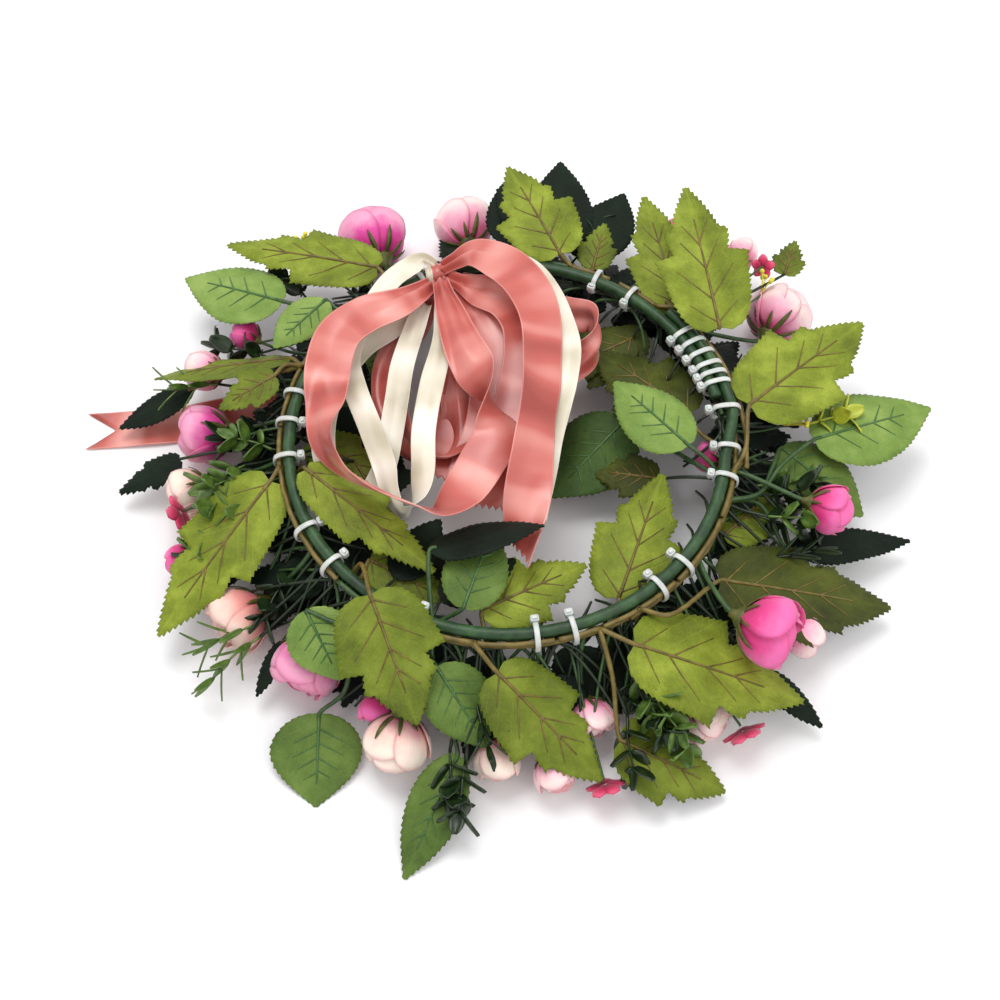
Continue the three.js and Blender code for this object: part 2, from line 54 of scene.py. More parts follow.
KNOT_ANGLE = 110
GROUND = -39.7  # petals and ribbons lie just above the ground
STEM_RADIUS = 1.1
PETIOLE_RADIUS = 0.9
LEAF_THICKNESS = 0.3
PETAL_THICKNESS = 0.3
RIBBON_THICKNESS = 0.22
CORAL_WIDTH = 19
CREAM_WIDTH = 10
LEAF_FOLD = -0.12

# Stems run along the ring in lanes: [out from the ring's centreline, up from it].
OUTER = (4.1, -0.6)
LOWER = (2.6, -4.2)
INNER = (-1.0, -4.6)

# Half outlines, base to tip: edge along the leaf, edge out from the midrib and where its row meets
# the midrib, each as a share of the leaf's length.
MAPLE = [
    (0.0, 0.02, 0.0), (-0.02, 0.1, 0.02), (0.02, 0.2, 0.06), (0.1, 0.27, 0.11), (0.2, 0.31, 0.17),
    (0.32, 0.335, 0.24), (0.42, 0.35, 0.31), (0.5, 0.37, 0.37), (0.515, 0.29, 0.42), (0.53, 0.21, 0.47),
    (0.6, 0.235, 0.54), (0.68, 0.245, 0.62), (0.7, 0.185, 0.67), (0.79, 0.15, 0.76), (0.89, 0.085, 0.87),
    (1.0, 0.004, 1.0),
]
ROSE = [
    (0.0, 0.02, 0.0), (0.0, 0.08, 0.01), (0.05, 0.16, 0.05), (0.13, 0.235, 0.13), (0.24, 0.29, 0.24),
    (0.36, 0.315, 0.36), (0.48, 0.31, 0.48), (0.6, 0.275, 0.6), (0.72, 0.215, 0.72), (0.83, 0.14, 0.83),
    (0.93, 0.06, 0.93), (1.0, 0.004, 1.0),
]

# Side veins: start along the midrib, end along and out, as shares of length and of width.
MAPLE_VEINS = [(0.03, 0.17, 0.19), (0.2, 0.42, 0.23), (0.4, 0.6, 0.15), (0.58, 0.74, 0.11)]
ROSE_VEINS = [(0.16, 0.3, 0.17), (0.32, 0.46, 0.17), (0.48, 0.61, 0.14), (0.62, 0.7, 0.09)]


def leaf(outline, base, heading, rise, length, width=1.0, roll=0, via=(), look="olive", droop=0.06):
    return {
        "outline": outline, "base": base, "heading": heading, "rise": rise, "length": length,
        "width": width, "roll": roll, "via": via, "look": look, "droop": droop,
    }


# Leaf picks: name, stem look, lane, run along the ring in degrees, and the leaves.
SPRAYS = [
    ("leaf_spray_back", "bark", OUTER, (61, 72), [
        leaf(MAPLE, (24, 94, 3), 118, 13, 50, look="olive"),
        leaf(MAPLE, (39, 94, -7), 75, 12, 24, via=[(38, 90, -4)], look="olive_deep"),
        leaf(ROSE, (25, 105, -9), 89, 3, 56, 0.8, via=[(28, 96, -8)], look="night"),
        leaf(ROSE, (21, 112, -9), 127, 0, 42, 0.9, via=[(26, 100, -9)], look="night"),
    ]),
    ("leaf_spray_back_right", "bark", OUTER, (58, 46), [
        leaf(MAPLE, (76, 67, -3), 103, 12, 60, 0.75, look="olive"),
        leaf(MAPLE, (91, 50, 7), 100, 15, 69, 0.8, via=[(78, 64, 2)], look="olive"),
    ]),
    ("leaf_spray_right", "bark", OUTER, (336, 350), [
        leaf(MAPLE, (101, 13, 3), 40, 1, 70, 0.85, via=[(98, -7, 0)], look="olive"),
        leaf(MAPLE, (78, 17, -9), 137, -2, 53, via=[(99, -8, -4), (97, -1, -9), (87, 3, -10), (80, 9, -9)],
             look="olive_brown"),
    ]),
    ("leaf_spray_outer_right", "sap", LOWER, (336, 342), [
        leaf(ROSE, (129, 3, -8), 20, -2, 57, via=[(103, -24, -7), (114, -10, -7)], look="fresh"),
        leaf(ROSE, (116, 2, -13), 318, -6, 44, 1.15, via=[(103, -24, -8), (110, -11, -9)], look="moss"),
        leaf(ROSE, (115, -43, -20), 9, -5, 55, 0.5, via=[(104, -26, -12)], look="night"),
    ]),
    ("leaf_spray_inner_right", "sap", INNER, (334, 349), [
        leaf(ROSE, (74, -8, 5), 131, 0, 44, via=[(82, -12, 0)], look="fresh"),
        leaf(ROSE, (51, 17, -14), 225, -10, 47, 1.25, via=[(78, -10, -6), (64, 4, -11)], look="moss_deep"),
    ]),
    ("leaf_spray_front_right", "bark", OUTER, (314, 303), [
        leaf(MAPLE, (84, -64, -6), 359, -14, 76, 0.8, via=[(62, -82, 0)], look="olive_brown"),
        leaf(MAPLE, (44, -70, -10), 70, 5, 60, 0.85, via=[(49, -80, -9)], look="olive"),
    ]),
    ("leaf_spray_front", "bark", OUTER, (282, 292), [
        leaf(MAPLE, (48, -94, 0), 347, -13, 71, 0.85, look="olive"),
        leaf(MAPLE, (43, -125, -20), 339, -15, 46, via=[(40, -104, -8)], look="olive_deep"),
    ]),
    ("leaf_spray_front_middle", "bark", OUTER, (252, 262), [
        leaf(MAPLE, (-4, -104, -4), 318, -18, 57, 0.88, look="olive_deep"),
        leaf(MAPLE, (-10, -78, -4), 28, -2, 47, 0.88, via=[(-8, -91, -8)], look="olive"),
    ]),
    ("leaf_spray_front_rose", "sap", INNER, (238, 251), [
        leaf(ROSE, (-27, -101, -6), 305, -17, 36, 1.2, via=[(-30, -94, -9)], look="moss"),
        leaf(ROSE, (-19, -130, -23), 245, -16, 50, 0.7, via=[(-29, -96, -10), (-24, -112, -18)], look="moss"),
        leaf(ROSE, (-17, -80, 2), 71, 7, 36, 1.15, via=[(-24, -82, -3)], look="moss"),
        leaf(ROSE, (-30, -57, 7), 12, 8, 45, 0.66, roll=-22, via=[(-30, -74, 0)], look="night"),
    ]),
    ("leaf_spray_front_left", "bark", INNER, (215, 226), [
        leaf(MAPLE, (-52, -79, 12), 292, -17, 52, 1.15, via=[(-57, -62, 4)], look="olive_deep"),
        leaf(MAPLE, (-55, -54, -8), 334, -6, 36, via=[(-58, -62, -8)], look="olive_deep"),
    ]),
    ("leaf_spray_left_rose", "sap", OUTER, (226, 234), [
        leaf(ROSE, (-78, -79, -2), 299, -19, 30, 1.4, via=[(-62, -84, -4)], look="fresh"),
        leaf(ROSE, (-74, -110, -31), 270, -13, 36, 1.6, via=[(-60, -92, -12), (-64, -104, -24)], look="moss",
             droop=0.02),
    ]),
    ("leaf_spray_left", "bark", OUTER, (178, 189), [
        leaf(MAPLE, (-96, -22, 0), 234, -13, 76, 0.66, look="olive"),
        leaf(MAPLE, (-81, -20, 6), 321, -3, 68, 0.52, via=[(-90, -16, -8), (-84, -15, -2)], look="olive"),
    ]),
    ("leaf_spray_left_back", "bark", OUTER, (147, 158), [
        leaf(MAPLE, (-98, 28, 3), 210, -9, 27, via=[(-94, 34, 2)], look="olive_deep"),
        leaf(ROSE, (-93, 42, -4), 180, -9, 63, 0.5, roll=30, look="olive_deep"),
        leaf(ROSE, (-139, 40, -24), 206, -12, 37, 0.6, via=[(-96, 38, -8), (-118, 42, -16)], look="night",
             droop=0.02),
    ]),
    ("leaf_spray_back_left_rose", "sap", OUTER, (129, 137), [
        leaf(ROSE, (-79, 69, 2), 231, 3, 33, via=[(-75, 66, 0)], look="fresh"),
        leaf(ROSE, (-100, 76, -8), 158, -5, 51, via=[(-76, 68, -5)], look="fresh"),
    ]),
    ("leaf_spray_back_left", "bark", OUTER, (126, 120), [
        leaf(MAPLE, (-58, 92, -4), 165, -2, 73, 0.6, via=[(-51.5, 83.5, -4.5)], look="olive"),
    ]),
]

# Small leaves that lie among the picks and on the ground side; the near-black ones are partly painted shade
# in the gaps.
LOOSE_LEAVES = [
    leaf(MAPLE, (63, -12, -15), 165, -8, 28, look="olive_brown"),
    leaf(MAPLE, (88, -40, -14), 44, -3, 33, look="olive_deep"),
    leaf(ROSE, (-53, 53, -14), 239, -14, 24, look="fresh"),
    leaf(ROSE, (-89, -84, -20), 243, -20, 24, 0.5, look="night"),
    leaf(MAPLE, (-84, 4, -12), 340, -6, 40, 0.8, look="olive_deep"),
    leaf(ROSE, (-78, -22, -12), 20, -6, 44, 0.8, look="night"),
    leaf(ROSE, (-60, 60, -16), 275, -4, 46, 0.8, look="night"),
    leaf(MAPLE, (56, 60, -14), 205, -4, 40, 0.9, look="olive_brown"),
    leaf(MAPLE, (127, 96, -14), 70, 6, 20, look="olive_deep"),
    leaf(ROSE, (60, 66, -14), 230, -6, 38, 0.9, look="olive_brown"),
    leaf(ROSE, (-6, -104, -18), 250, -12, 30, 0.8, look="night"),
    leaf(ROSE, (100, -96, -22), 320, -14, 32, 0.6, look="night"),
    leaf(ROSE, (-104, -46, -16), 205, -12, 34, 0.8, look="night"),
    leaf(MAPLE, (-140, 2, -22), 205, -12, 30, 0.7, look="night"),
    leaf(ROSE, (-70, 96, -12), 150, -6, 36, 0.6, look="moss_deep"),
    leaf(ROSE, (40, 104, -12), 68, 4, 42, 1.0, look="night"),
    leaf(ROSE, (8, 110, -12), 104, 4, 40, 1.0, look="night"),
    leaf(ROSE, (-26, -72, -6), 30, 4, 34, 0.9, look="night"),
    leaf(ROSE, (-44, -62, -8), 58, 2, 32, 0.9, look="night"),
    leaf(MAPLE, (-64, -4, -14), 300, -4, 34, 0.9, look="olive_deep"),
    leaf(ROSE, (-66, 8, -18), 10, -6, 34, 0.9, look="night"),
    leaf(ROSE, (-78, -34, -14), 350, -8, 44, 0.9, look="night"),
    leaf(ROSE, (-66, -54, -14), 20, -8, 42, 0.9, look="night"),
    leaf(ROSE, (-76, 22, -16), 320, -8, 44, 0.9, look="night"),
    leaf(ROSE, (-50, -70, -14), 40, -8, 40, 0.9, look="night"),
    leaf(ROSE, (-74, 44, -16), 300, -8, 40, 0.9, look="moss_deep"),
]

# Blossoms: name, petal look, run along the ring, centre of the head, heading and pitch of its face, radius.
BLOSSOMS = [
    ("blossom_back_left", "magenta", (131, 122), (-64, 127, -25), 112, 5, 16),
    ("blossom_back", "blush", (86, 96), (-20, 136, -27), 100, 10, 14),
    ("blossom_back_right", "blush", (49, 43), (125, 82, -25), 60, 0, 14),
    ("blossom_right", "hot", (345, 351), (132, -32, -6), 345, 10, 10),
    ("blossom_front_right", "hot", (333, 325), (101, -91, 4), 335, 5, 14),
    ("blossom_front", "blush", (298, 289), (33, -115, -27), 290, 20, 9.5),
    ("blossom_front_left", "peach", (252, 246), (-43, -125, -27), 258, 35, 13),
    ("blossom_left_front", "magenta", (239, 232), (-80, -93, -27), 240, 20, 14),
    ("blossom_left", "dusty", (206, 213), (-110, -72, -27), 215, 10, 13.5),
    ("blossom_left_back", "magenta", (166, 172), (-133, 18, -27), 180, 10, 12.5),
    ("blossom_left_low", "peach", (179, 185), (-138, -10, -30), 195, 10, 10.5),
    ("blossom_front_low", "peach", (314, 306), (78, -114, -30), 310, 15, 10),
]

# Blossoms and closed buds too small for a CAD node: petal look, centre, heading, pitch, radius.
SMALL_BLOSSOMS = [
    ("blush", (110, 112, -18), 60, 0, 7),
    ("blush", (-135, 48, -22), 170, 10, 9),
    ("peach", (-4, -131, -28), 270, 20, 9),
    ("blush", (18, -136, -28), 285, 10, 8),
    ("blush", (119, -80, -24), 330, 20, 8),
    ("blush", (76, -116, -28), 300, 15, 8),
    ("hot", (-118, 68, -22), 150, 0, 7),
    ("hot", (-51, -112, -24), 250, 20, 7),
    ("hot", (85, 0, -17), 150, 10, 6.5),
    ("hot", (80, 127, -20), 80, 0, 6),
    ("hot", (-135, -45, -26), 205, 20, 7),
    ("hot", (132, 0, -24), 20, 20, 8),
]

# Five-petalled flowers: centre, heading, pitch, radius.
CRIMSON_FLOWERS = [
    ((117, 99, -12), 60, 40, 5.5),
    ((37, -140, -27), 290, 40, 8),
    ((91, -119, -26), 300, 30, 9),
    ((-137, -23, -24), 190, 30, 8),
]

# Boxwood sprigs: base, heading, rise, length, leaf look.
BOXWOOD = [
    ((-98, -24, -12), 190, 6, 20, "box"), ((-98, -2, -8), 165, 8, 16, "box"),
    ((-106, -38, -16), 205, 0, 22, "box"), ((-112, -30, -20), 230, -4, 22, "box_dark"),
    ((51, -98, -12), 285, -4, 20, "box"), ((50, -106, -14), 300, -4, 20, "box_dark"),
    ((46, -116, -18), 275, -10, 20, "box_dark"), ((62, -106, -18), 285, -10, 22, "box"),
    ((104, -22, -12), 10, 4, 22, "box_dark"), ((102, -30, -14), 345, 4, 24, "box_dark"),
    ((-16, -134, -22), 262, -8, 18, "box_dark"),
    ((-22, -128, -24), 275, -6, 18, "box_dark"),
    ((-84, -52, -16), 240, -5, 26, "box_dark"), ((98, 30, -16), 20, 2, 26, "box_dark"),
    ((84, 60, -16), 70, 2, 24, "box_dark"), ((30, 104, -16), 60, -2, 24, "box_dark"),
    ((-104, 52, -18), 165, -4, 26, "box_dark"), ((-90, 84, -18), 130, -4, 24, "box_dark"),
    ((-96, 10, -16), 185, 0, 24, "box_dark"),
    ((128, 12, -10), 15, 6, 16, "box_yellow"), ((-104, -14, -8), 205, 10, 18, "box"),
    ((-100, -34, -10), 175, 8, 20, "box"), ((-110, -6, -14), 215, 0, 18, "box"),
    ((106, -34, -8), 355, 8, 20, "box"), ((54, -106, -12), 300, 0, 20, "box"),
]

# Spiky sprigs: base, heading, rise, length, leaf look.
SPIKY = [
    ((-98, -82, -20), 225, -4, 24, "box"),
    ((-100, -78, -18), 205, -4, 20, "box"),
    ((-12, -112, -14), 285, -2, 18, "box_dark"),
    ((104, -16, -14), 10, 0, 20, "box"),
    ((104, -50, -14), 10, 0, 20, "box_dark"),
    ((-126, 38, -18), 190, 2, 18, "box"),
]

SPRIG_ROOM = 16  # millimetres kept free round a blossom

# Cable ties, in degrees round the ring.
TIES = [347, 356, 8, 16, 19, 22, 26, 30, 34, 53, 64, 167, 176, 187, 209, 221, 248, 277, 286, 310, 319]

# Long stems bound along the ring between the picks: from and to in degrees, out, up, look.
BOUND_STEMS = [
    (263, 281, 4.1, -0.4, "bark"), (293, 302, 4.0, -0.6, "bark"), (315, 335, 4.1, -0.5, "bark"),
    (351, 405, 9.0, -0.6, "bark"), (235, 251, 4.0, -0.5, "bark"), (190, 225, 4.1, -0.5, "bark"),
    (159, 177, 4.1, -0.5, "bark"), (73, 98, 4.0, -0.6, "sap"), (255, 300, 3.9, -3.0, "bark"),
    (300, 366, 4.6, -2.9, "bark"), (140, 200, 3.6, -3.1, "bark"), (200, 250, 3.7, -3.0, "sap"),
    (46, 100, 3.4, -3.2, "sap"),
]

# Ribbons from the knot outwards: name, colour, width, cut of the far end, and stations of (x, y, height),
# with the bank in degrees and the share of the full width after them where they aren't 0 and 1.
RIBBONS = [
    ("ribbon_coral_left", "coral", CORAL_WIDTH, None, [
        (-32, 76, 5, 0, 0.35), (-47, 58, 13, 0, 0.85), (-60, 51, 15), (-70, 41, 15), (-74, 25, 14, -10),
        (-74, 8, 13, 15, 0.95), (-74, -8, 14, 50, 0.95), (-69, -20, 16, 80, 0.95),
        (-60, -30, 17, 104, 0.95), (-50, -36, 17, 112, 0.95), (-36, -42, 16, 116), (-26, -43, 13, 135),
        (-18, -34, 12, 165), (-10, -20, 12, 180), (-4, -7, 13, 190), (-6, 8, 15, 260),
        (-13, 22, 16, 330), (-19, 37, 15, 355, 0.85), (-24, 54, 13, 360, 0.65),
        (-27, 66, 10, 360, 0.45), (-29, 75, 8.5, 360, 0.35),
    ]),
    ("ribbon_coral_tail", "coral", CORAL_WIDTH, "slanted", [
        (-28, 84.5, 4, 0, 0.3), (-23, 85, 8, 0, 0.4), (-14, 84, 16, 0, 0.8), (0, 72, 21),
        (10, 56, 23, -5), (14, 41, 22, -20), (14, 18, 19, -36), (12, 0, 18, -36), (10, -18, 15.5, -28),
        (8, -34, 9), (6, -49, 3, 30, 0.9), (4, -63, -1, 45, 0.8),
    ]),
    ("ribbon_coral_middle", "coral", CORAL_WIDTH, "pinked", [
        (-27, 81, 3, 0, 0.3), (-21, 76, 5, 0, 0.35), (-10, 68, 9, 0, 0.9), (0, 61, 11), (7, 49, 11),
        (8, 36, 9), (5, 17, 5), (0, -4, 1), (-4, -20, -3), (-6, -33, -5),
    ]),
    ("ribbon_coral_inner", "coral", CORAL_WIDTH, None, [
        (-34, 75, -3, 0, 0.35), (-39, 62, -5, 0, 0.7), (-45, 52, -6, 0, 0.8), (-50, 40, -6, 0, 0.8),
        (-50, 24, -8, 10, 0.8), (-45, 8, -10, 40, 0.8), (-36, -3, -10, 80, 0.8),
        (-27, -5, -9, 110, 0.8), (-21, 3, -7, 150, 0.8), (-20, 16, -4, 180, 0.8),
        (-24, 34, -2, 180, 0.7), (-27, 54, -3, 180, 0.5), (-29, 72, -3, 180, 0.3),
    ]),
    ("ribbon_coral_small", "coral", CORAL_WIDTH, None, [
        (-20, 82, 1, 0, 0.4), (-2, 74, 1, 0, 0.7), (14, 64, 2, 0, 0.8), (27, 60, 3, 40, 0.8),
        (37, 58, 4, 75, 0.8), (39, 49, 3, 100, 0.8), (35, 41, 1, 130, 0.8), (26, 36, -2, 165, 0.8),
    ]),
    ("ribbon_cream_left", "cream", CREAM_WIDTH, None, [
        (-31.5, 87, 3.5, 0, 0.35), (-37, 88, 7, 0, 0.5), (-42, 82, 9), (-50, 75, 8), (-57, 64, 6),
        (-67, 38, 4), (-64, 22, 4), (-56, 1, 3), (-50, -16, 3, 10), (-46, -30, 2, 50),
        (-41, -37, 1.5, 90), (-36, -32, 3, 130), (-34, -20, 6, 170), (-34, -4, 9, 180),
        (-31, 19, 11, 180), (-27, 44, 9, 180, 0.9), (-28, 62, 5, 180, 0.7), (-29, 73, 1.5, 180, 0.5),
    ]),
    ("ribbon_cream_outer", "cream", CREAM_WIDTH, None, [
        (-36, 76, 1, 0, 0.5), (-48, 56, 0), (-62, 44, -1), (-71, 27, -1), (-76, 8, -1), (-75, -9, -5),
        (-68, -21, -8), (-58, -24, -9), (-51, -14, -5), (-48, -1, 0), (-46, 13, 4), (-44, 32, 5),
        (-39, 54, 4, 0, 0.9), (-36, 66, 3, 0, 0.7),
    ]),
    ("ribbon_cream_right", "cream", CREAM_WIDTH, None, [
        (-20, 88, 5, 0, 0.5), (-8, 86, 9), (3, 82, 12), (11, 76, 13), (18, 64, 14), (23, 50, 14),
        (26, 35, 13.5), (24.5, 21, 12), (21.5, 8, 9.5), (18, -5, 6.5), (15.5, -18, 3), (13, -29, 0),
        (11, -38, -3),
    ]),
]

# Loose turns in the bunch that stand for no CAD node, in the same form.
FILLER_RIBBONS = [
    ("satin_filler_right", "coral", CORAL_WIDTH, "pinked", [
        (-22, 74, 4, 0, 0.4), (-14, 60, 6, 0, 0.8), (-8, 44, 5), (-6, 26, 1), (-8, 8, -4),
        (-14, -10, -8), (-18, -26, -10),
    ]),
    ("satin_filler_left", "coral", CORAL_WIDTH, "pinked", [
        (-26, 72, 2, 0, 0.4), (-24, 52, 2, 0, 0.8), (-20, 34, -2), (-20, 16, -6), (-26, 0, -8),
        (-30, -16, -9),
    ]),
]

LOW_TAIL = [
    (-40, 86, -10, 0, 0.6), (-52, 80, -24, 0, 0.8), (-70, 66, -35), (-86, 55, -39), (-110, 42, -39.5),
    (-145, 31, -39.5), (-188, 27, -39.5),
]

CAMERA_LENS = 50
CAMERA_SENSOR = 36
CAMERA_ELEVATION = 60  # degrees
CAMERA_DISTANCE = 0.559  # metres, as the lights and the floor
CAMERA_AIM = (-2.87, -30.94, 0)  # from the ring's centre
WORLD_STRENGTH = 0.84
# Lights: name, place, size, watts.
LIGHTS = [("key", (-0.15, 0.3, 1.25), 0.6, 7.5), ("fill", (0.7, -0.4, 1.0), 1.0, 3)]
FLOOR_HALF = 3
FLOOR_DROP = 0.0002

# The ring's centre comes from the joint that the ribbons swing on.
swing = frame["joints"][0]["pos_m"]
knot_angle = math.radians(KNOT_ANGLE)
RING = Vector(swing) - Vector((math.cos(knot_angle), math.sin(knot_angle), 0)) * RING_RADIUS * MM


# ---------------------------------------------------------------------------------------------
# Camera, lights and floor.
# ---------------------------------------------------------------------------------------------


def make_camera():
    data = bpy.data.cameras.new("camera")
    data.lens, data.sensor_width = CAMERA_LENS, CAMERA_SENSOR
    camera = bpy.data.objects.new("camera", data)
    bpy.context.scene.collection.objects.link(camera)
    target = RING + Vector(CAMERA_AIM) * MM
    elevation = math.radians(CAMERA_ELEVATION)
    back = Vector((0, -math.cos(elevation), math.sin(elevation)))
    camera.location = target + back * CAMERA_DISTANCE
    camera.rotation_mode = "QUATERNION"
    camera.rotation_quaternion = (-back).to_track_quat("-Z", "Y")
    bpy.context.scene.camera = camera


def area_light(name, where, size, power):
    data = bpy.data.lights.new(name, "AREA")
    data.energy, data.size = power, size
    light = bpy.data.objects.new(name, data)
    light.location = where
    light.rotation_mode = "QUATERNION"
    light.rotation_quaternion = (RING - Vector(where)).to_track_quat("-Z", "Y")
    bpy.context.scene.collection.objects.link(light)


def make_studio():
    scene = bpy.context.scene
    scene.view_settings.view_transform = "Standard"
    world = bpy.data.worlds.new("studio")
    world.use_nodes = True
    background = world.node_tree.nodes["Background"]
    background.inputs["Color"].default_value = (1, 1, 1, 1)
    background.inputs["Strength"].default_value = WORLD_STRENGTH
    scene.world = world
    for light in LIGHTS:
        area_light(*light)
    data = bpy.data.meshes.new("floor")
    corners = [(x * FLOOR_HALF, y * FLOOR_HALF, 0) for x, y in ((-1, -1), (1, -1), (1, 1), (-1, 1))]
    data.from_pydata(corners, [], [(0, 1, 2, 3)])
    floor = bpy.data.objects.new("floor", data)
    floor.location.z = -FLOOR_DROP
    bpy.context.scene.collection.objects.link(floor)
    data.materials.append(floor_material())


# ---------------------------------------------------------------------------------------------
# Materials.
# ---------------------------------------------------------------------------------------------


def linear(red, green, blue):
    """A colour from its 0 to 255 display values."""
    shares = [c / 255 for c in (red, green, blue)]
    return [s / 12.92 if s <= 0.04045 else ((s + 0.055) / 1.055) ** 2.4 for s in shares] + [1]


class Shader:
    """A material's nodes, made one after another."""

    def __init__(self, name):
        self.material = bpy.data.materials.new(name)
        self.material.use_nodes = True
        self.tree = self.material.node_tree
        self.surface = self.tree.nodes["Principled BSDF"]

    def node(self, kind, **values):
        made = self.tree.nodes.new(kind)
        for key, value in values.items():
            if key in made.inputs:
                made.inputs[key].default_value = value
            else:
                setattr(made, key, value)
        return made

    def link(self, source, target):
        self.tree.links.new(source, target)

    def place(self):
        return self.node("ShaderNodeTexCoord").outputs["Object"]

    def flat(self):
        return self.node("ShaderNodeTexCoord").outputs["UV"]

    def uv(self):
        split = self.node("ShaderNodeSeparateXYZ")
        self.link(self.flat(), split.inputs[0])
        return split.outputs["X"], split.outputs["Y"]

    def noise(self, scale, detail=4, roughness=0.55):
        made = self.node("ShaderNodeTexNoise", Scale=scale, Detail=detail, Roughness=roughness)
        self.link(self.place(), made.inputs["Vector"])
        return made.outputs["Fac"]

    def feed(self, value, socket):
        """A plain value is set on the socket, and another node's output is linked to it."""
        if isinstance(value, (int, float, list, tuple)):
            socket.default_value = value
        elif value is not None:
            self.link(value, socket)

    def maths(self, operation, a, b=None, clamp=False):
        made = self.node("ShaderNodeMath", operation=operation, use_clamp=clamp)
        for socket, value in zip(made.inputs, (a, b)):
            self.feed(value, socket)
        return made.outputs[0]

    def times(self, a, b):
        return self.maths("MULTIPLY", a, b)

    def plus(self, a, b):
        return self.maths("ADD", a, b)

    def minus(self, a, b, clamp=False):
        return self.maths("SUBTRACT", a, b, clamp)

    def spread(self, factor, low, high):
        """factor from 0 to 1 as a value from low to high."""
        return self.plus(self.times(factor, high - low), low)

    def ramp(self, factor, stops):
        made = self.node("ShaderNodeValToRGB")
        elements = made.color_ramp.elements
        while len(elements) < len(stops):
            elements.new(0.5)
        for element, (place, colour) in zip(elements, stops):
            element.position, element.color = place, colour
        self.link(factor, made.inputs["Fac"])
        return made.outputs["Color"]

    def mix(self, factor, a, b):
        made = self.node("ShaderNodeMix", data_type="RGBA")
        for socket, value in ((made.inputs[0], factor), (made.inputs[6], a), (made.inputs[7], b)):
            self.feed(value, socket)
        return made.outputs[2]

    def waves(self, source, scale, direction):
        made = self.node("ShaderNodeTexWave", bands_direction=direction, Scale=scale)
        self.link(source, made.inputs["Vector"])
        return made.outputs["Fac"]

    def bump(self, height, strength, distance, under=None):
        made = self.node("ShaderNodeBump", Strength=strength, Distance=distance)
        self.link(height, made.inputs["Height"])
        if under is not None:
            self.link(under, made.inputs["Normal"])
        return made.outputs["Normal"]

    def finish(self, colour, normal=None, roughness=0.6, **settings):
        for value, socket in ((colour, "Base Color"), (normal, "Normal"), (roughness, "Roughness")):
            self.feed(value, self.surface.inputs[socket])
        for key, value in settings.items():
            self.surface.inputs[key.replace("_", " ")].default_value = value
        return self.material


def floor_material():
    shader = Shader("studio_floor")
    colour = shader.ramp(shader.noise(3), [(0.3, linear(244, 244, 245)), (0.7, linear(250, 250, 250))])
    return shader.finish(colour, shader.bump(shader.noise(400), 0.05, 0.0005), 0.8)


def leaf_material(name, dark, middle, light, vein_light=0.35, gloss=0.24):
    """Printed leaf cloth: mottled colour, paler embossed side veins and a fine weave."""
    shader = Shader(name)
    across, along = shader.uv()
    out = shader.maths("ABSOLUTE", across)
    blotch = shader.noise(48, 6, 0.62)
    colour = shader.ramp(blotch, [(0.34, dark), (0.5, middle), (0.66, light)])
    slant = shader.minus(along, shader.times(out, 0.3))
    stripe = shader.maths("PINGPONG", shader.times(slant, 7.0), 0.5)
    fine_line = shader.minus(1.0, shader.times(stripe, 9.0), clamp=True)
    near_rib = shader.minus(1.0, shader.times(out, 3.2), clamp=True)
    colour = shader.mix(shader.times(fine_line, vein_light * 0.5), colour, light)
    colour = shader.mix(shader.times(near_rib, vein_light), colour, light)
    grain = shader.noise(1500, 2, 0.6)
    colour = shader.mix(0.2, colour, shader.ramp(grain, [(0.3, dark), (0.7, light)]))
    threads = [shader.waves(shader.place(), 620, way) for way in "XY"]
    normal = shader.bump(shader.maths("MAXIMUM", *threads), 0.12, 0.0001)
    normal = shader.bump(shader.noise(110, 5), 0.45, 0.002, normal)
    normal = shader.bump(shader.minus(1.0, fine_line), 0.25, 0.0006, normal)
    sheen = {"Specular_IOR_Level": gloss, "Sheen_Weight": gloss * 0.15, "Sheen_Roughness": 0.5}
    return shader.finish(colour, normal, shader.spread(blotch, 0.5, 0.68), **sheen)


def petal_material(name, base, middle, tip):
    """Dyed petal cloth, which fades from its base to its tip, with a stronger rim and fine creases."""
    shader = Shader(name)
    across, along = shader.uv()
    wander = shader.times(shader.minus(shader.noise(120, 3), 0.5), 0.55)
    colour = shader.ramp(shader.plus(along, wander), [(0.12, base), (0.5, middle), (0.82, tip)])
    side_rim = shader.maths("POWER", shader.maths("ABSOLUTE", across), 7.0)
    rim = shader.maths("MAXIMUM", side_rim, shader.maths("POWER", along, 16.0))
    colour = shader.mix(shader.times(rim, 0.45), colour, base)
    normal = shader.bump(shader.waves(shader.flat(), 2.2, "X"), 0.12, 0.0003)
    normal = shader.bump(shader.noise(260, 4), 0.3, 0.0006, normal)
    return shader.finish(
        colour, normal, 0.55, Subsurface_Weight=0.12, Subsurface_Scale=0.002, Sheen_Weight=0.25,
    )


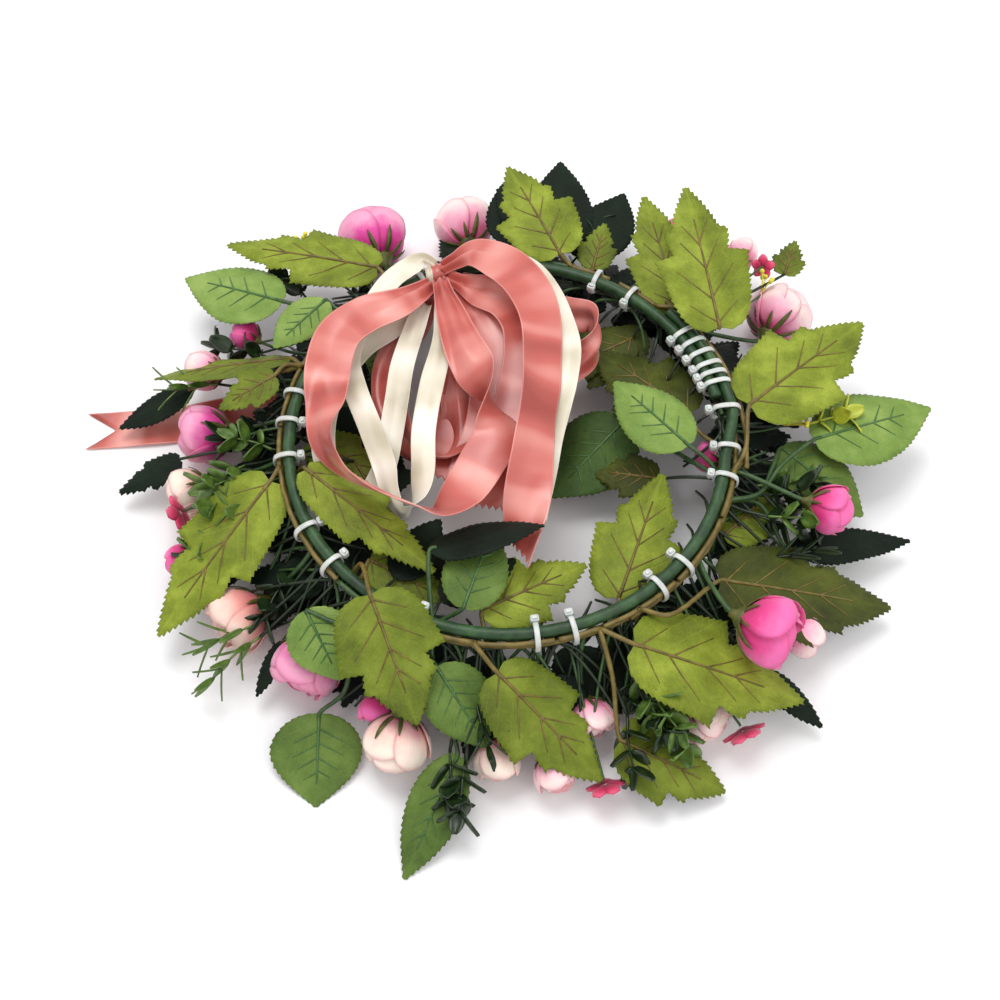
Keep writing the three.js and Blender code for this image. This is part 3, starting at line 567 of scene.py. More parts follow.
def satin_material(name, shade, body, shine):
    """Woven satin ribbon: painted highlights and painted shade that run in bands across it, thin selvedges
    and fine threads.
    """
    shader = Shader(name)
    across = shader.uv()[0]
    flat = shader.flat()
    stretch = shader.node("ShaderNodeMapping", Scale=(0.14, 0.5, 1))
    shader.link(flat, stretch.inputs["Vector"])
    # Lighter and darker bands of the satin colours across the ribbon: painted highlight and painted shade,
    # whatever the lamps do.
    band = shader.node("ShaderNodeTexNoise", Scale=1.0, Detail=1.5, Roughness=0.4, Distortion=0.2)
    shader.link(stretch.outputs["Vector"], band.inputs["Vector"])
    painted_lustre = shader.plus(shader.times(band.outputs["Fac"], 0.8), shader.times(shader.noise(22, 2), 0.2))
    colour = shader.ramp(painted_lustre, [(0.34, shade), (0.5, body), (0.66, shine)])
    edge = shader.maths("GREATER_THAN", shader.maths("ABSOLUTE", across), 0.94)
    colour = shader.mix(shader.times(edge, 0.4), colour, shine)
    weft = shader.waves(flat, 22, "Y")
    colour = shader.mix(shader.times(weft, 0.08), colour, shade)
    normal = shader.bump(weft, 0.1, 0.00006)
    normal = shader.bump(shader.waves(flat, 9, "X"), 0.08, 0.00006, normal)
    normal = shader.bump(edge, 0.5, 0.00015, normal)
    normal = shader.bump(shader.noise(60, 2), 0.2, 0.0012, normal)
    lustre = {"Anisotropic": 0.6, "Specular_IOR_Level": 0.7, "Sheen_Weight": 0.3, "Sheen_Roughness": 0.3}
    return shader.finish(colour, normal, shader.spread(shader.noise(60, 3), 0.26, 0.38), **lustre)


def plastic_material(name, dark, light, roughness, scale=240, **settings):
    """Moulded plastic with a slightly uneven surface and colour."""
    shader = Shader(name)
    colour = shader.ramp(shader.noise(scale, 4), [(0.3, dark), (0.7, light)])
    normal = shader.bump(shader.noise(scale * 3, 3), 0.25, 0.0003)
    uneven = shader.spread(shader.noise(scale * 2), roughness - 0.06, roughness + 0.1)
    return shader.finish(colour, normal, uneven, **settings)


def tape_material():
    """Waxed floral tape: crinkled across, a little shiny on the laps."""
    shader = Shader("floral_tape")
    greens = [(0.3, linear(20, 46, 20)), (0.52, linear(34, 68, 32)), (0.75, linear(60, 96, 52))]
    normal = shader.bump(shader.noise(900, 4, 0.7), 0.45, 0.0003)
    return shader.finish(
        shader.ramp(shader.noise(150, 5), greens), normal, shader.spread(shader.noise(300), 0.36, 0.55),
    )


def wire_material():
    shader = Shader("galvanised_wire")
    colour = shader.ramp(shader.noise(500), [(0.3, linear(120, 122, 124)), (0.7, linear(176, 178, 180))])
    normal = shader.bump(shader.noise(1200), 0.3, 0.0002)
    return shader.finish(colour, normal, shader.spread(shader.noise(700), 0.3, 0.5), Metallic=1.0)


# Looks: material name, its colours from dark to light, and any further values of its kind.
LEAF_LOOKS = {
    "olive": ("maple_leaf_olive", (84, 96, 14), (116, 130, 30), (154, 168, 58)),
    "olive_deep": ("maple_leaf_deep", (70, 82, 12), (98, 112, 24), (128, 142, 44)),
    # The olive colours darkened: partly brown leaves, partly painted shade.
    "olive_brown": ("maple_leaf_brown", (40, 46, 7), (60, 68, 13), (86, 94, 26)),
    "fresh": ("rose_leaf_fresh", (90, 118, 46), (116, 144, 64), (144, 168, 88), 0.2),
    "moss": ("rose_leaf_moss", (64, 88, 32), (88, 112, 44), (112, 136, 62), 0.2),
    "moss_deep": ("rose_leaf_deep", (38, 60, 18), (56, 82, 30), (78, 104, 44), 0.2),
    # Near-black leaf face: partly the dark top face of leaves that lie face down, partly painted shade for
    # the dark gaps under the picks.
    "night": ("leaf_face_dark", (5, 12, 6), (10, 24, 12), (20, 38, 20), 0.15, 0.16),
}
PLASTIC_LOOKS = {
    "bark": ("petiole_bark", (84, 70, 22), (126, 108, 48), 0.42),
    "sap": ("petiole_green", (36, 62, 28), (64, 94, 46), 0.38),
    "rib_green": ("rose_rib", (50, 84, 38), (80, 118, 58), 0.36),
    "stem_dark": ("stem_dark", (12, 24, 10), (32, 50, 22), 0.38),
    "box": ("boxwood_light", (54, 84, 30), (102, 130, 52), 0.36),
    "box_dark": ("boxwood_dark", (12, 26, 10), (34, 56, 22), 0.34),
    "box_yellow": ("boxwood_yellow", (150, 160, 36), (196, 204, 66), 0.36),
    "sepal": ("sepal", (56, 70, 20), (106, 100, 42), 0.45),
    "yellow": ("stamen_yellow", (206, 190, 30), (244, 234, 84), 0.45),
    "nylon": ("nylon_tie", (186, 190, 186), (212, 216, 212), 0.32, 200),
}
NYLON_GLOW = {"Subsurface_Weight": 0.3, "Subsurface_Scale": 0.002, "Specular_IOR_Level": 0.55}
PETAL_LOOKS = {
    "magenta": ("petal_magenta", (200, 18, 120), (230, 68, 158), (247, 164, 196)),
    "hot": ("petal_hot_pink", (188, 16, 92), (224, 48, 130), (242, 104, 172)),
    "blush": ("petal_blush", (224, 66, 128), (248, 166, 190), (254, 222, 218)),
    "peach": ("petal_peach", (232, 110, 140), (250, 206, 192), (253, 234, 218)),
    "dusty": ("petal_dusty", (196, 84, 96), (232, 152, 140), (248, 214, 200)),
    "crimson": ("petal_crimson", (150, 18, 60), (206, 36, 88), (228, 84, 124)),
}
# Satin colours: painted shade, body and painted highlight; the highlight colour also tints the selvedges.
SATIN_LOOKS = {
    "coral": ("coral_satin", (160, 62, 54), (198, 98, 88), (240, 168, 158)),
    "cream": ("cream_satin", (190, 180, 154), (222, 213, 192), (246, 241, 228)),
}


def make_looks():
    kinds = [
        (leaf_material, LEAF_LOOKS), (plastic_material, PLASTIC_LOOKS),
        (petal_material, PETAL_LOOKS), (satin_material, SATIN_LOOKS),
    ]
    looks = {"tape": tape_material()}
    for make, table in kinds:
        for key, (name, *values) in table.items():
            colours = [linear(*value) if isinstance(value, tuple) else value for value in values]
            looks[key] = make(name, *colours, **(NYLON_GLOW if key == "nylon" else {}))
    return looks


# ---------------------------------------------------------------------------------------------
# Mesh building, in millimetres from the ring's centre.
# ---------------------------------------------------------------------------------------------


class Surface:
    """The points, faces, UVs and looks of one object."""

    def __init__(self):
        self.points, self.faces, self.uvs, self.looks = [], [], [], []

    def add(self, points, faces, uvs, looks):
        start = sum(len(p) for p in self.points)
        self.points.append(np.asarray(points, float))
        self.uvs.append(np.asarray(uvs, float))
        self.faces.extend([start + i for i in face] for face in faces)
        self.looks.extend([looks] * len(faces) if isinstance(looks, str) else looks)

    def sheet(self, rows, uvs, thickness, above, below):
        """A thin closed sheet through a grid of points. Its normal is rows' way crossed with columns' way."""
        rows, uvs = np.asarray(rows, float), np.asarray(uvs, float)
        down, over = np.gradient(rows, axis=0), np.gradient(rows, axis=1)
        normal = np.cross(down, over)
        normal /= np.maximum(np.linalg.norm(normal, axis=2, keepdims=True), 1e-9)
        m, n = rows.shape[:2]
        top = (rows + normal * thickness / 2).reshape(-1, 3)
        bottom = (rows - normal * thickness / 2).reshape(-1, 3)

        def corner(i, j, layer):
            return layer * m * n + i * n + j

        faces, looks = [], []
        for i in range(m - 1):
            for j in range(n - 1):
                around = [(i, j), (i + 1, j), (i + 1, j + 1), (i, j + 1)]
                faces.append([corner(*c, 0) for c in around])
                faces.append([corner(*c, 1) for c in reversed(around)])
                looks += [above, below]
        edge = [(i, 0) for i in range(m)] + [(m - 1, j) for j in range(1, n)]
        edge += [(i, n - 1) for i in range(m - 2, -1, -1)] + [(0, j) for j in range(n - 2, 0, -1)]
        for a, b in zip(edge, edge[1:] + edge[:1]):
            faces.append([corner(*b, 0), corner(*a, 0), corner(*a, 1), corner(*b, 1)])
            looks.append(above)
        flat = uvs.reshape(-1, 2)
        self.add(np.concatenate([top, bottom]), faces, np.concatenate([flat, flat]), looks)

    def rings(self, rings, look, closed=False):
        """A closed body through rings of points."""
        rings = np.asarray(rings, float)
        m, n = rings.shape[:2]
        faces = []
        for i in range(m if closed else m - 1):
            for j in range(n):
                k, after = (j + 1) % n, (i + 1) % m
                faces.append([i * n + j, i * n + k, after * n + k, after * n + j])
        if not closed:
            faces.append(list(range(n - 1, -1, -1)))
            faces.append([(m - 1) * n + j for j in range(n)])
        uvs = np.stack(np.meshgrid(np.linspace(-1, 1, n), np.linspace(0, 1, m)), axis=-1).reshape(-1, 2)
        self.add(rings.reshape(-1, 3), faces, uvs, look)

    def tube(self, path, radii, look, sides=8):
        """A round tube along a path, with a radius for each point or one for all."""
        path = np.asarray(path, float)
        radii = np.broadcast_to(radii, len(path))
        along = np.gradient(path, axis=0)
        along /= np.maximum(np.linalg.norm(along, axis=1, keepdims=True), 1e-9)
        side = np.cross(along[0], (0, 0, 1) if abs(along[0][2]) < 0.9 else (1, 0, 0))
        turns = full_circle(sides)
        rings = []
        for centre, forward, radius in zip(path, along, radii):
            side = side - forward * side.dot(forward)
            side /= max(np.linalg.norm(side), 1e-9)
            up = np.cross(forward, side)
            rings.append([centre + radius * (math.cos(t) * side + math.sin(t) * up) for t in turns])
        self.rings(rings, look)


def make_object(surface, name, looks, body="crown", node=None):
    """The surface as one smooth object that rides on a body and may stand for a CAD node."""
    points = np.concatenate(surface.points) * MM + np.array(RING)
    mesh = bpy.data.meshes.new(name)
    mesh.from_pydata(points.tolist(), [], surface.faces)
    used = sorted(set(surface.looks))
    for look in used:
        mesh.materials.append(looks[look])
    mesh.polygons.foreach_set("material_index", [used.index(look) for look in surface.looks])
    mesh.polygons.foreach_set("use_smooth", [True] * len(mesh.polygons))
    corners = np.concatenate(surface.uvs)[[i for face in surface.faces for i in face]]
    mesh.uv_layers.new(name="flat").data.foreach_set("uv", corners.ravel())
    made = bpy.data.objects.new(name, mesh)
    bpy.context.scene.collection.objects.link(made)
    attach(made, body)
    if node:
        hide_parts(node)
    return made


def round_ring(degrees, out, up):
    radius = RING_RADIUS + out
    return np.array((radius * math.cos(math.radians(degrees)), radius * math.sin(math.radians(degrees)), up))


def ring_axes(degrees):
    """The unit directions along the ring, outward and up, at an angle."""
    turn = math.radians(degrees)
    along = np.array((-math.sin(turn), math.cos(turn), 0))
    outward = np.array((math.cos(turn), math.sin(turn), 0))
    return along, outward, np.array((0, 0, 1.0))


def lane_run(lane, start, end):
    steps = max(2, round(abs(end - start) / 4))
    return [round_ring(start + (end - start) * i / steps, *lane) for i in range(steps + 1)]


def smooth_path(points, per_span=8):
    """A centripetal Catmull-Rom curve through the points, as the CAD's curves are."""
    points = [np.array(p, float) for p in points]
    ends = [2 * points[0] - points[1], *points, 2 * points[-1] - points[-2]]
    path = []
    for a, b, c, d in zip(ends, ends[1:], ends[2:], ends[3:]):
        first, middle, last = (max(np.linalg.norm(q - p) ** 0.5, 1e-4) for p, q in ((a, b), (b, c), (c, d)))
        leave = ((b - a) / first - (c - a) / (first + middle) + (c - b) / middle) * middle
        arrive = ((c - b) / middle - (d - b) / (middle + last) + (d - c) / last) * middle
        for t in np.arange(per_span) / per_span:
            cubic = 2 * b - 2 * c + leave + arrive
            square = -3 * b + 3 * c - 2 * leave - arrive
            path.append(b + leave * t + square * t * t + cubic * t**3)
    path.append(points[-1])
    return np.array(path)


def bowed_path(start, end, bow, per_span):
    """A curve between two points whose middle is moved up by bow."""
    return smooth_path([start, (start + end) / 2 + (0, 0, bow), end], per_span)


def full_circle(count):
    return np.linspace(0, 2 * math.pi, count, endpoint=False)


def on_ball(polar, azimuth, size):
    """A point of a ball, from its pole at -X."""
    flat = math.sin(polar)
    return -math.cos(polar) * size, flat * math.cos(azimuth) * size, flat * math.sin(azimuth) * size


def soft_square(angle, corner):
    """The cosine and sine of an angle, drawn out from a circle towards a square."""
    wide, high = math.cos(angle), math.sin(angle)
    return math.copysign(abs(wide) ** corner, wide), math.copysign(abs(high) ** corner, high)


def turn_of(heading, rise, roll=0):
    return (
        Matrix.Rotation(math.radians(heading), 3, "Z")
        @ Matrix.Rotation(-math.radians(rise), 3, "Y")
        @ Matrix.Rotation(math.radians(roll), 3, "X")
    )


def placed(points, base, turn):
    points = np.asarray(points, float)
    moved = points @ np.array(turn).T + np.array(base, float)
    moved[..., 2] = np.maximum(moved[..., 2], GROUND)
    return moved


def shares(count):
    """Even steps from 0 to 1."""
    return [i / count for i in range(count + 1)]


def grid_of(point, steps, sides):
    """Rows of points at steps along and sides across, with their UVs."""
    rows = [[point(step, side) for side in sides] for step in steps]
    return rows, [[(side, step) for side in sides] for step in steps]


# ---------------------------------------------------------------------------------------------
# Leaves.
# ---------------------------------------------------------------------------------------------

TOOTH_PITCH = 2.7
MAPLE_TOOTH = 1.05  # millimetres from the notch to the point
ROSE_TOOTH = 0.6
FIVE_ACROSS = (-1, -0.5, 0, 0.5, 1)
ACROSS = [-1, -0.82, -0.6, -0.38, -0.18, 0, 0.18, 0.38, 0.6, 0.82, 1]


def dense_outline(outline, length, width):
    """The half outline at a third of a tooth's pitch: edge along and out, rib along, tooth along and out."""
    knots = np.array(outline) * (length, length * width, length)
    steps = np.linalg.norm(np.diff(knots[:, :2], axis=0), axis=1)
    travel = np.concatenate([[0], np.cumsum(steps)])
    at = np.arange(0, travel[-1], TOOTH_PITCH / 3)
    edge = np.stack([np.interp(at, travel, knots[:, k]) for k in range(3)], axis=1)
    forward = np.gradient(edge[:, :2], axis=0)
    forward /= np.maximum(np.linalg.norm(forward, axis=1, keepdims=True), 1e-9)
    depth = (MAPLE_TOOTH if outline is MAPLE else ROSE_TOOTH) * np.clip(at / travel[-1] * 12 - 1, 0, 1)
    saw = (np.arange(len(at)) % 3) / 2 * depth
    saw *= np.clip(1.4 + forward[:, 1], 0.2, 1)
    tooth = np.stack([saw * (0.5 * forward[:, 0] - forward[:, 1]), saw * forward[:, 0]], axis=1)
    return np.vstack([np.hstack([edge, tooth]), [*knots[-1], 0, 0]])


def leaf_blade(surface, one, seed):
    """One leaf: a toothed blade with a near-black face below, partly painted shade, and raised ribs on the
    side that shows.
    """
    maple = one["outline"] is MAPLE
    length, base, turn = one["length"], one["base"], turn_of(one["heading"], one["rise"], one["roll"])
    chance = random.Random(seed)
    lean = [chance.uniform(0.92, 1.06), chance.uniform(0.92, 1.06)]
    curl = chance.uniform(-0.03, 0.1)

    def height(x, y):
        across = abs(y) / length
        wave = noise.noise(Vector((x / 17, y / 17, seed * 3.7))) * min(1, abs(y) / 7) * 1.8
        return LEAF_FOLD * abs(y) * 1.1 - one["droop"] * x * x / length + curl * across * abs(y) * 4 + wave

    rows, uvs = [], []
    for edge_x, edge_y, rib_x, tooth_x, tooth_y in dense_outline(one["outline"], length, one["width"]):
        row, uv = [], []
        for share in ACROSS:
            at_rim = abs(share) == 1
            x = rib_x + (edge_x - rib_x) * abs(share) + at_rim * tooth_x
            y = share * (edge_y * lean[share > 0] + at_rim * tooth_y)
            row.append((x, y, height(x, y)))
            uv.append((share, x / length))
        rows.append(row)
        uvs.append(uv)
    # The face below is near black: the leaf's dark top face, partly painted shade.
    below = "night" if one["look"] != "night" else "moss_deep"
    surface.sheet(placed(rows, base, turn), uvs, LEAF_THICKNESS, one["look"], below)
    if one["look"] == "night":
        return
    rib_look = "bark" if maple or one["look"].startswith("olive") else "rib_green"

    def rib(start, end, thick, thin):
        shares = np.linspace(0, 1, 7)
        flat = [np.array(start) * (1 - s) + np.array(end) * s for s in shares]
        path = [(x, y, height(x, y) + 0.2) for x, y in flat]
        surface.tube(placed(path, base, turn), np.linspace(thick, thin, 7), rib_look, 6)

    rib((0, 0), (0.76 * length, 0), 0.75, 0.3)
    for start, along, out in MAPLE_VEINS if maple else ROSE_VEINS:
        for side in (-1, 1):
            shift = chance.uniform(-0.015, 0.025)
            tip = ((along + shift) * length, side * out * length * one["width"])
            rib(((start + shift) * length, 0), tip, 0.42, 0.16)


def leaf_spray(name, stem_look, lane, run, leaves, looks, order):
    surface = Surface()
    stem = smooth_path(lane_run(lane, *run), 4)
    surface.tube(stem, STEM_RADIUS, stem_look)
    fork = stem[-1]
    for i, one in enumerate(leaves):
        turn = turn_of(one["heading"], one["rise"], one["roll"])
        inside = placed([(0.06 * one["length"], 0, 0.2)], one["base"], turn)[0]
        path = smooth_path([fork, *one["via"], one["base"], inside], 6)
        radii = np.linspace(STEM_RADIUS, PETIOLE_RADIUS * 0.85, len(path))
        surface.tube(path, radii, stem_look)
        leaf_blade(surface, one, order * 10 + i)
    make_object(surface, name.replace("leaf_spray", "leaves"), looks, node=name)


def loose_leaves(looks):
    surface = Surface()
    for i, one in enumerate(LOOSE_LEAVES):
        leaf_blade(surface, one, 500 + i)
        base = np.array(one["base"], float)
        toward_ring = base / max(np.linalg.norm(base[:2]), 1) * (1, 1, 0) * RING_RADIUS
        foot = toward_ring + (0, 0, -7)
        path = smooth_path([foot, (toward_ring + base) / 2 + (0, 0, -2), base], 6)
        surface.tube(path, np.linspace(0.9, 0.7, len(path)), "stem_dark", 6)
    make_object(surface, "leaves_loose", looks)


# ---------------------------------------------------------------------------------------------
# Blossoms and small flowers.
# ---------------------------------------------------------------------------------------------

# Petal layers: petals, radius share, angle of the tips from the calyx, half width in degrees.
PETAL_LAYERS = [(5, 1.0, 116, 47), (5, 0.9, 132, 50), (4, 0.76, 146, 58), (3, 0.58, 160, 70)]
PETAL_STEPS = 10
SMALL_LAYERS = [(4, 1.0, 138, 56), (3, 0.82, 150, 66), (3, 0.6, 162, 74)]
SEPALS = 9
SEPAL_THICKNESS = 0.35
# Profile of the green cup under a head, back to front, as shares of the head's radius: along, out.
CUP = [(-1.34, 0.12), (-1.2, 0.16), (-1.06, 0.3), (-0.98, 0.36), (-0.9, 0.2)]
# Bunches of stamens: base, heading, how many.
STAMENS = [((-90, 110, -14), 110, 7), ((116, 86, -14), 60, 6), ((117, 10, -8), 20, 6)]


def petal(surface, base, turn, radius, middle, tip, half, look, chance):
    """A cupped petal on a ball, from the calyx at -X round towards the face at +X."""
    lift = chance.uniform(-0.03, 0.05)
    notch = chance.uniform(0.0, 0.07)
    flare = chance.uniform(-0.02, 0.09)

    def point(share, side):
        breadth = math.sin(math.pi * (0.12 + 0.62 * share)) ** 0.8
        reach = share * (1 - 0.16 * side * side - notch * (1 - abs(side)) ** 2 * share)
        polar = math.radians(8 + (tip - 8) * reach)
        azimuth = math.radians(middle + side * half * breadth)
        size = radius * (1 + lift * share + flare * share**5 + 0.045 * side + 0.03 * side * side * share)
        return on_ball(polar, azimuth, size)

    steps = shares(PETAL_STEPS)
    rows, uvs = grid_of(point, steps, [2 * step - 1 for step in steps])
    surface.sheet(placed(rows, base, turn), uvs, PETAL_THICKNESS, look, look)


def calyx(surface, base, turn, radius, chance):
    """Pointed sepals that hug the lowest third of the head, round a small green cup."""
    for k in range(SEPALS):
        middle = 360 * k / SEPALS + chance.uniform(-8, 8)
        reach = chance.uniform(42, 66)

        def point(share, side):
            polar = math.radians(6 + reach * share)
            half = 12 * (1 - share) ** 0.8 + 0.6
            return on_ball(polar, math.radians(middle + side * half), radius * (1.03 + 0.05 * share))

        rows, uvs = grid_of(point, shares(6), (-1, 0, 1))
        surface.sheet(placed(rows, base, turn), uvs, SEPAL_THICKNESS, "sepal", "sepal")
    rings = [
        [(x * radius, -out * radius * math.cos(t), out * radius * math.sin(t)) for t in full_circle(10)]
        for x, out in CUP
    ]
    surface.rings(placed(rings, base, turn), "sepal")


def blossom_head(surface, look, at, heading, pitch, radius, seed, layers=PETAL_LAYERS):
    chance = random.Random(seed)
    turn = turn_of(heading, -pitch)
    start = chance.uniform(0, 360)
    for layer, (count, share, tip, half) in enumerate(layers):
        for k in range(count):
            middle = start + 37 * layer + 360 * k / count + chance.uniform(-7, 7)
            size = radius * share * chance.uniform(0.94, 1.0)
            petal(surface, at, turn, size, middle, tip + chance.uniform(-10, 8), half, look, chance)
    calyx(surface, at, turn, radius * 0.98, chance)


def blossom(name, look, run, at, heading, pitch, radius, looks, seed):
    surface = Surface()
    blossom_head(surface, look, at, heading, pitch, radius, seed)
    turn = turn_of(heading, -pitch)
    neck = placed([(-1.25 * radius, 0, 0)], at, turn)[0]
    heart = placed([(-0.95 * radius, 0, 0)], at, turn)[0]
    path = smooth_path([*lane_run(LOWER, *run), neck, heart], 6)
    surface.tube(path, np.linspace(1.1, 0.95, len(path)), "sap")
    make_object(surface, name.replace("blossom", "flower"), looks, node=name)


def small_blossoms(looks):
    surface = Surface()
    for i, (look, at, heading, pitch, radius) in enumerate(SMALL_BLOSSOMS):
        blossom_head(surface, look, at, heading, pitch, radius, 900 + i, SMALL_LAYERS)
        stem_to_ring(surface, at, turn_of(heading, -pitch), radius)
    make_object(surface, "flowers_small", looks)


def stem_to_ring(surface, at, turn, radius, look="sap", thickness=0.8):
    neck = placed([(-1.3 * radius, 0, 0)], at, turn)[0]
    heart = placed([(-0.9 * radius, 0, 0)], at, turn)[0]
    foot = neck / max(np.linalg.norm(neck[:2]), 1) * (1, 1, 0) * (RING_RADIUS + 3) + (0, 0, -7)
    path = smooth_path([foot, (foot + neck) / 2 + (0, 0, -3), neck, heart], 6)
    surface.tube(path, np.linspace(thickness, thickness * 0.9, len(path)), look, 6)


def crimson_petal(surface, at, turn, radius, spin):
    def point(share, side):
        half = 0.42 * math.sin(math.pi * (0.1 + 0.75 * share)) * radius
        out = radius * (0.08 + share * (0.95 - 0.12 * side * side))
        rise = 0.16 * radius * share * share + 0.08 * radius * side * side
        z = side * half
        y_turned = out * math.cos(spin) - z * math.sin(spin)
        z_turned = out * math.sin(spin) + z * math.cos(spin)
        return rise, y_turned, z_turned

    rows, uvs = grid_of(point, shares(7), FIVE_ACROSS)
    surface.sheet(placed(rows, at, turn), uvs, PETAL_THICKNESS, "crimson", "crimson")


def crimson_flowers(looks):
    surface = Surface()
    for i, (at, heading, pitch, radius) in enumerate(CRIMSON_FLOWERS):
        chance = random.Random(700 + i)
        turn = turn_of(heading, -pitch)
        for k in range(5):
            crimson_petal(surface, at, turn, radius, math.radians(72 * k + chance.uniform(-8, 8)))
        beads = [(0.1 * radius, 0, 0), (0.22 * radius, 0, 0), (0.3 * radius, 0, 0)]
        surface.tube(placed(beads, at, turn), [0.9, 1.1, 0.5], "yellow", 8)
        stem_to_ring(surface, at, turn, radius * 0.25, thickness=0.6)
    make_object(surface, "flowers_crimson", looks)


def bead(surface, centre, radius, look):
    turns = full_circle(8)
    rings = []
    for polar in np.linspace(0.25, math.pi - 0.25, 6):
        flat, up = radius * math.sin(polar), -radius * math.cos(polar)
        rings.append([np.array(centre) + (flat * math.cos(t), flat * math.sin(t), up * 1.2) for t in turns])
    surface.rings(rings, look)


def stamens(looks):
    """Bunches of short yellow stamens on thin stalks."""
    surface = Surface()
    for base, heading, count in STAMENS:
        chance = random.Random(heading)
        for _ in range(count):
            turn = turn_of(heading + chance.uniform(-45, 45), chance.uniform(5, 60))
            tip = placed([(chance.uniform(6, 10), 0, 0)], base, turn)[0]
            path = bowed_path(np.array(base), tip, 0.6, 4)
            surface.tube(path, 0.3, "yellow", 5)
            bead(surface, tip, 1.1, "yellow")
        stem_to_ring(surface, base, turn_of(heading, 0), 2, thickness=0.6)
    make_object(surface, "flower_stamens", looks)


# ---------------------------------------------------------------------------------------------
# Greenery under the ring.
# ---------------------------------------------------------------------------------------------


# Sprigs by kind: object, where they are, and their leaves' length, width, spacing and opening angle.
GREENERY = [
    ("greenery_boxwood", BOXWOOD, (10.5, 7.8, 6, 48)),
    ("greenery_spiky", SPIKY, (13, 2.4, 5, 35)),
]
SPOON_THICKNESS = 0.4
UNDER_STEMS = 240
LOW_LEAVES = 96
LOW_SPRIGS = 70


def spoon_leaf(surface, base, turn, length, width, look):
    def point(share, side):
        half = width / 2 * math.sin(math.pi * min(0.99, 0.06 + 0.88 * share**0.8)) ** 0.75
        cup = 0.16 * width * side * side + 0.1 * length * share * share
        return share * length, side * half, cup

    rows, uvs = grid_of(point, shares(7), FIVE_ACROSS)
    surface.sheet(placed(rows, base, turn), uvs, SPOON_THICKNESS, look, look)


def sprig(surface, base, heading, rise, length, look, leaf_length, leaf_width, spacing, chance, open_by=48):
    """A stem with pairs of leaves, each pair turned a quarter from the last."""
    turn = turn_of(heading, rise, chance.uniform(0, 90))
    bow = [(0, 0, 0), (0.5 * length, 0, 0.06 * length), (length, 0, 0)]
    path = smooth_path(placed(bow, base, turn), 8)
    surface.tube(path, np.linspace(0.65, 0.4, len(path)), look, 6)
    pairs = max(2, round(length / spacing))
    for k in range(1, pairs + 1):
        where = path[round((len(path) - 1) * k / pairs)]
        for half_turn in (0, 180):
            around = Matrix.Rotation(math.radians(90 * k + half_turn + chance.uniform(-12, 12)), 3, "X")
            lift = Matrix.Rotation(-math.radians(open_by + chance.uniform(-12, 12)), 3, "Y")
            size = leaf_length * chance.uniform(0.8, 1.1)
            breadth = leaf_width * chance.uniform(0.85, 1.1)
            spoon_leaf(surface, where, turn @ around @ lift, size, breadth, look)
    spoon_leaf(surface, path[-1], turn, leaf_length * 0.8, leaf_width * 0.8, look)


def greenery(looks):
    chance = random.Random(41)
    for name, sprigs, (*leaf_shape, open_by) in GREENERY:
        surface = Surface()
        for one in sprigs:
            sprig(surface, *one, *leaf_shape, chance, open_by)
            sprig_foot(surface, one[0])
        make_object(surface, name, looks)


def sprig_foot(surface, base):
    base = np.array(base, float)
    foot = base / np.linalg.norm(base[:2]) * (1, 1, 0) * (RING_RADIUS + 2) + (0, 0, -6)
    if np.linalg.norm(foot - base) > 4:
        path = bowed_path(foot, base, -1.5, 5)
        surface.tube(path, 0.7, "stem_dark", 6)


def near_blossom(point):
    """Whether a sprig there would reach into a blossom."""
    heads = [(at, radius) for _, _, _, at, _, _, radius in BLOSSOMS]
    heads += [(at, radius) for _, at, _, _, radius in SMALL_BLOSSOMS]
    return any(np.linalg.norm(point - np.array(at)) < radius + SPRIG_ROOM for at, radius in heads)


def under_stems(looks, chance):
    """Dense dark stems that leave the ring on its ground side; their number and dark colour also stand in as
    painted shade between the picks.
    """
    surface = Surface()
    for k in range(UNDER_STEMS):
        degrees = 360 * k / UNDER_STEMS + chance.uniform(-3, 3)
        inward = k % 6 == 0
        lane = (chance.uniform(-1, 4), chance.uniform(-7, -3.5))
        reach = chance.uniform(-16, -8) if inward else chance.uniform(12, 36)
        sweep = chance.choice((-1, 1)) * chance.uniform(4, 16)
        depth = chance.uniform(-16, -10) if inward else chance.uniform(-34, -16)
        stations = [
            round_ring(degrees - sweep, *lane),
            round_ring(degrees - sweep * 0.5, lane[0], lane[1] - 1),
            round_ring(degrees, reach * 0.45, depth * 0.55),
            round_ring(degrees + sweep * 0.4, reach, depth),
        ]
        path = smooth_path(stations, 5)
        look = chance.choice(("stem_dark", "stem_dark", "stem_dark", "sap"))
        surface.tube(path, np.linspace(1.0, 0.55, len(path)), look, 6)
    make_object(surface, "stems_under_ring_and_shade", looks)


def low_leaves(looks, chance):
    """Near-black leaves low under the picks, partly dark leaf faces and partly painted shade in the gaps."""
    surface = Surface()
    for k in range(LOW_LEAVES):
        degrees = 360 * k / LOW_LEAVES + chance.uniform(-2, 2)
        base = round_ring(degrees, chance.uniform(-2, 12), chance.uniform(-26, -13))
        one = leaf(
            chance.choice((ROSE, MAPLE)), tuple(base), degrees + chance.uniform(-60, 60),
            chance.uniform(-22, -8), chance.uniform(24, 36), chance.uniform(0.6, 0.9), look="night",
        )
        leaf_blade(surface, one, 600 + k)
        foot = round_ring(degrees + chance.uniform(-4, 4), 2, -6)
        path = bowed_path(foot, base, -1, 5)
        surface.tube(path, 0.7, "stem_dark", 6)
    make_object(surface, "leaves_low_and_shade", looks)


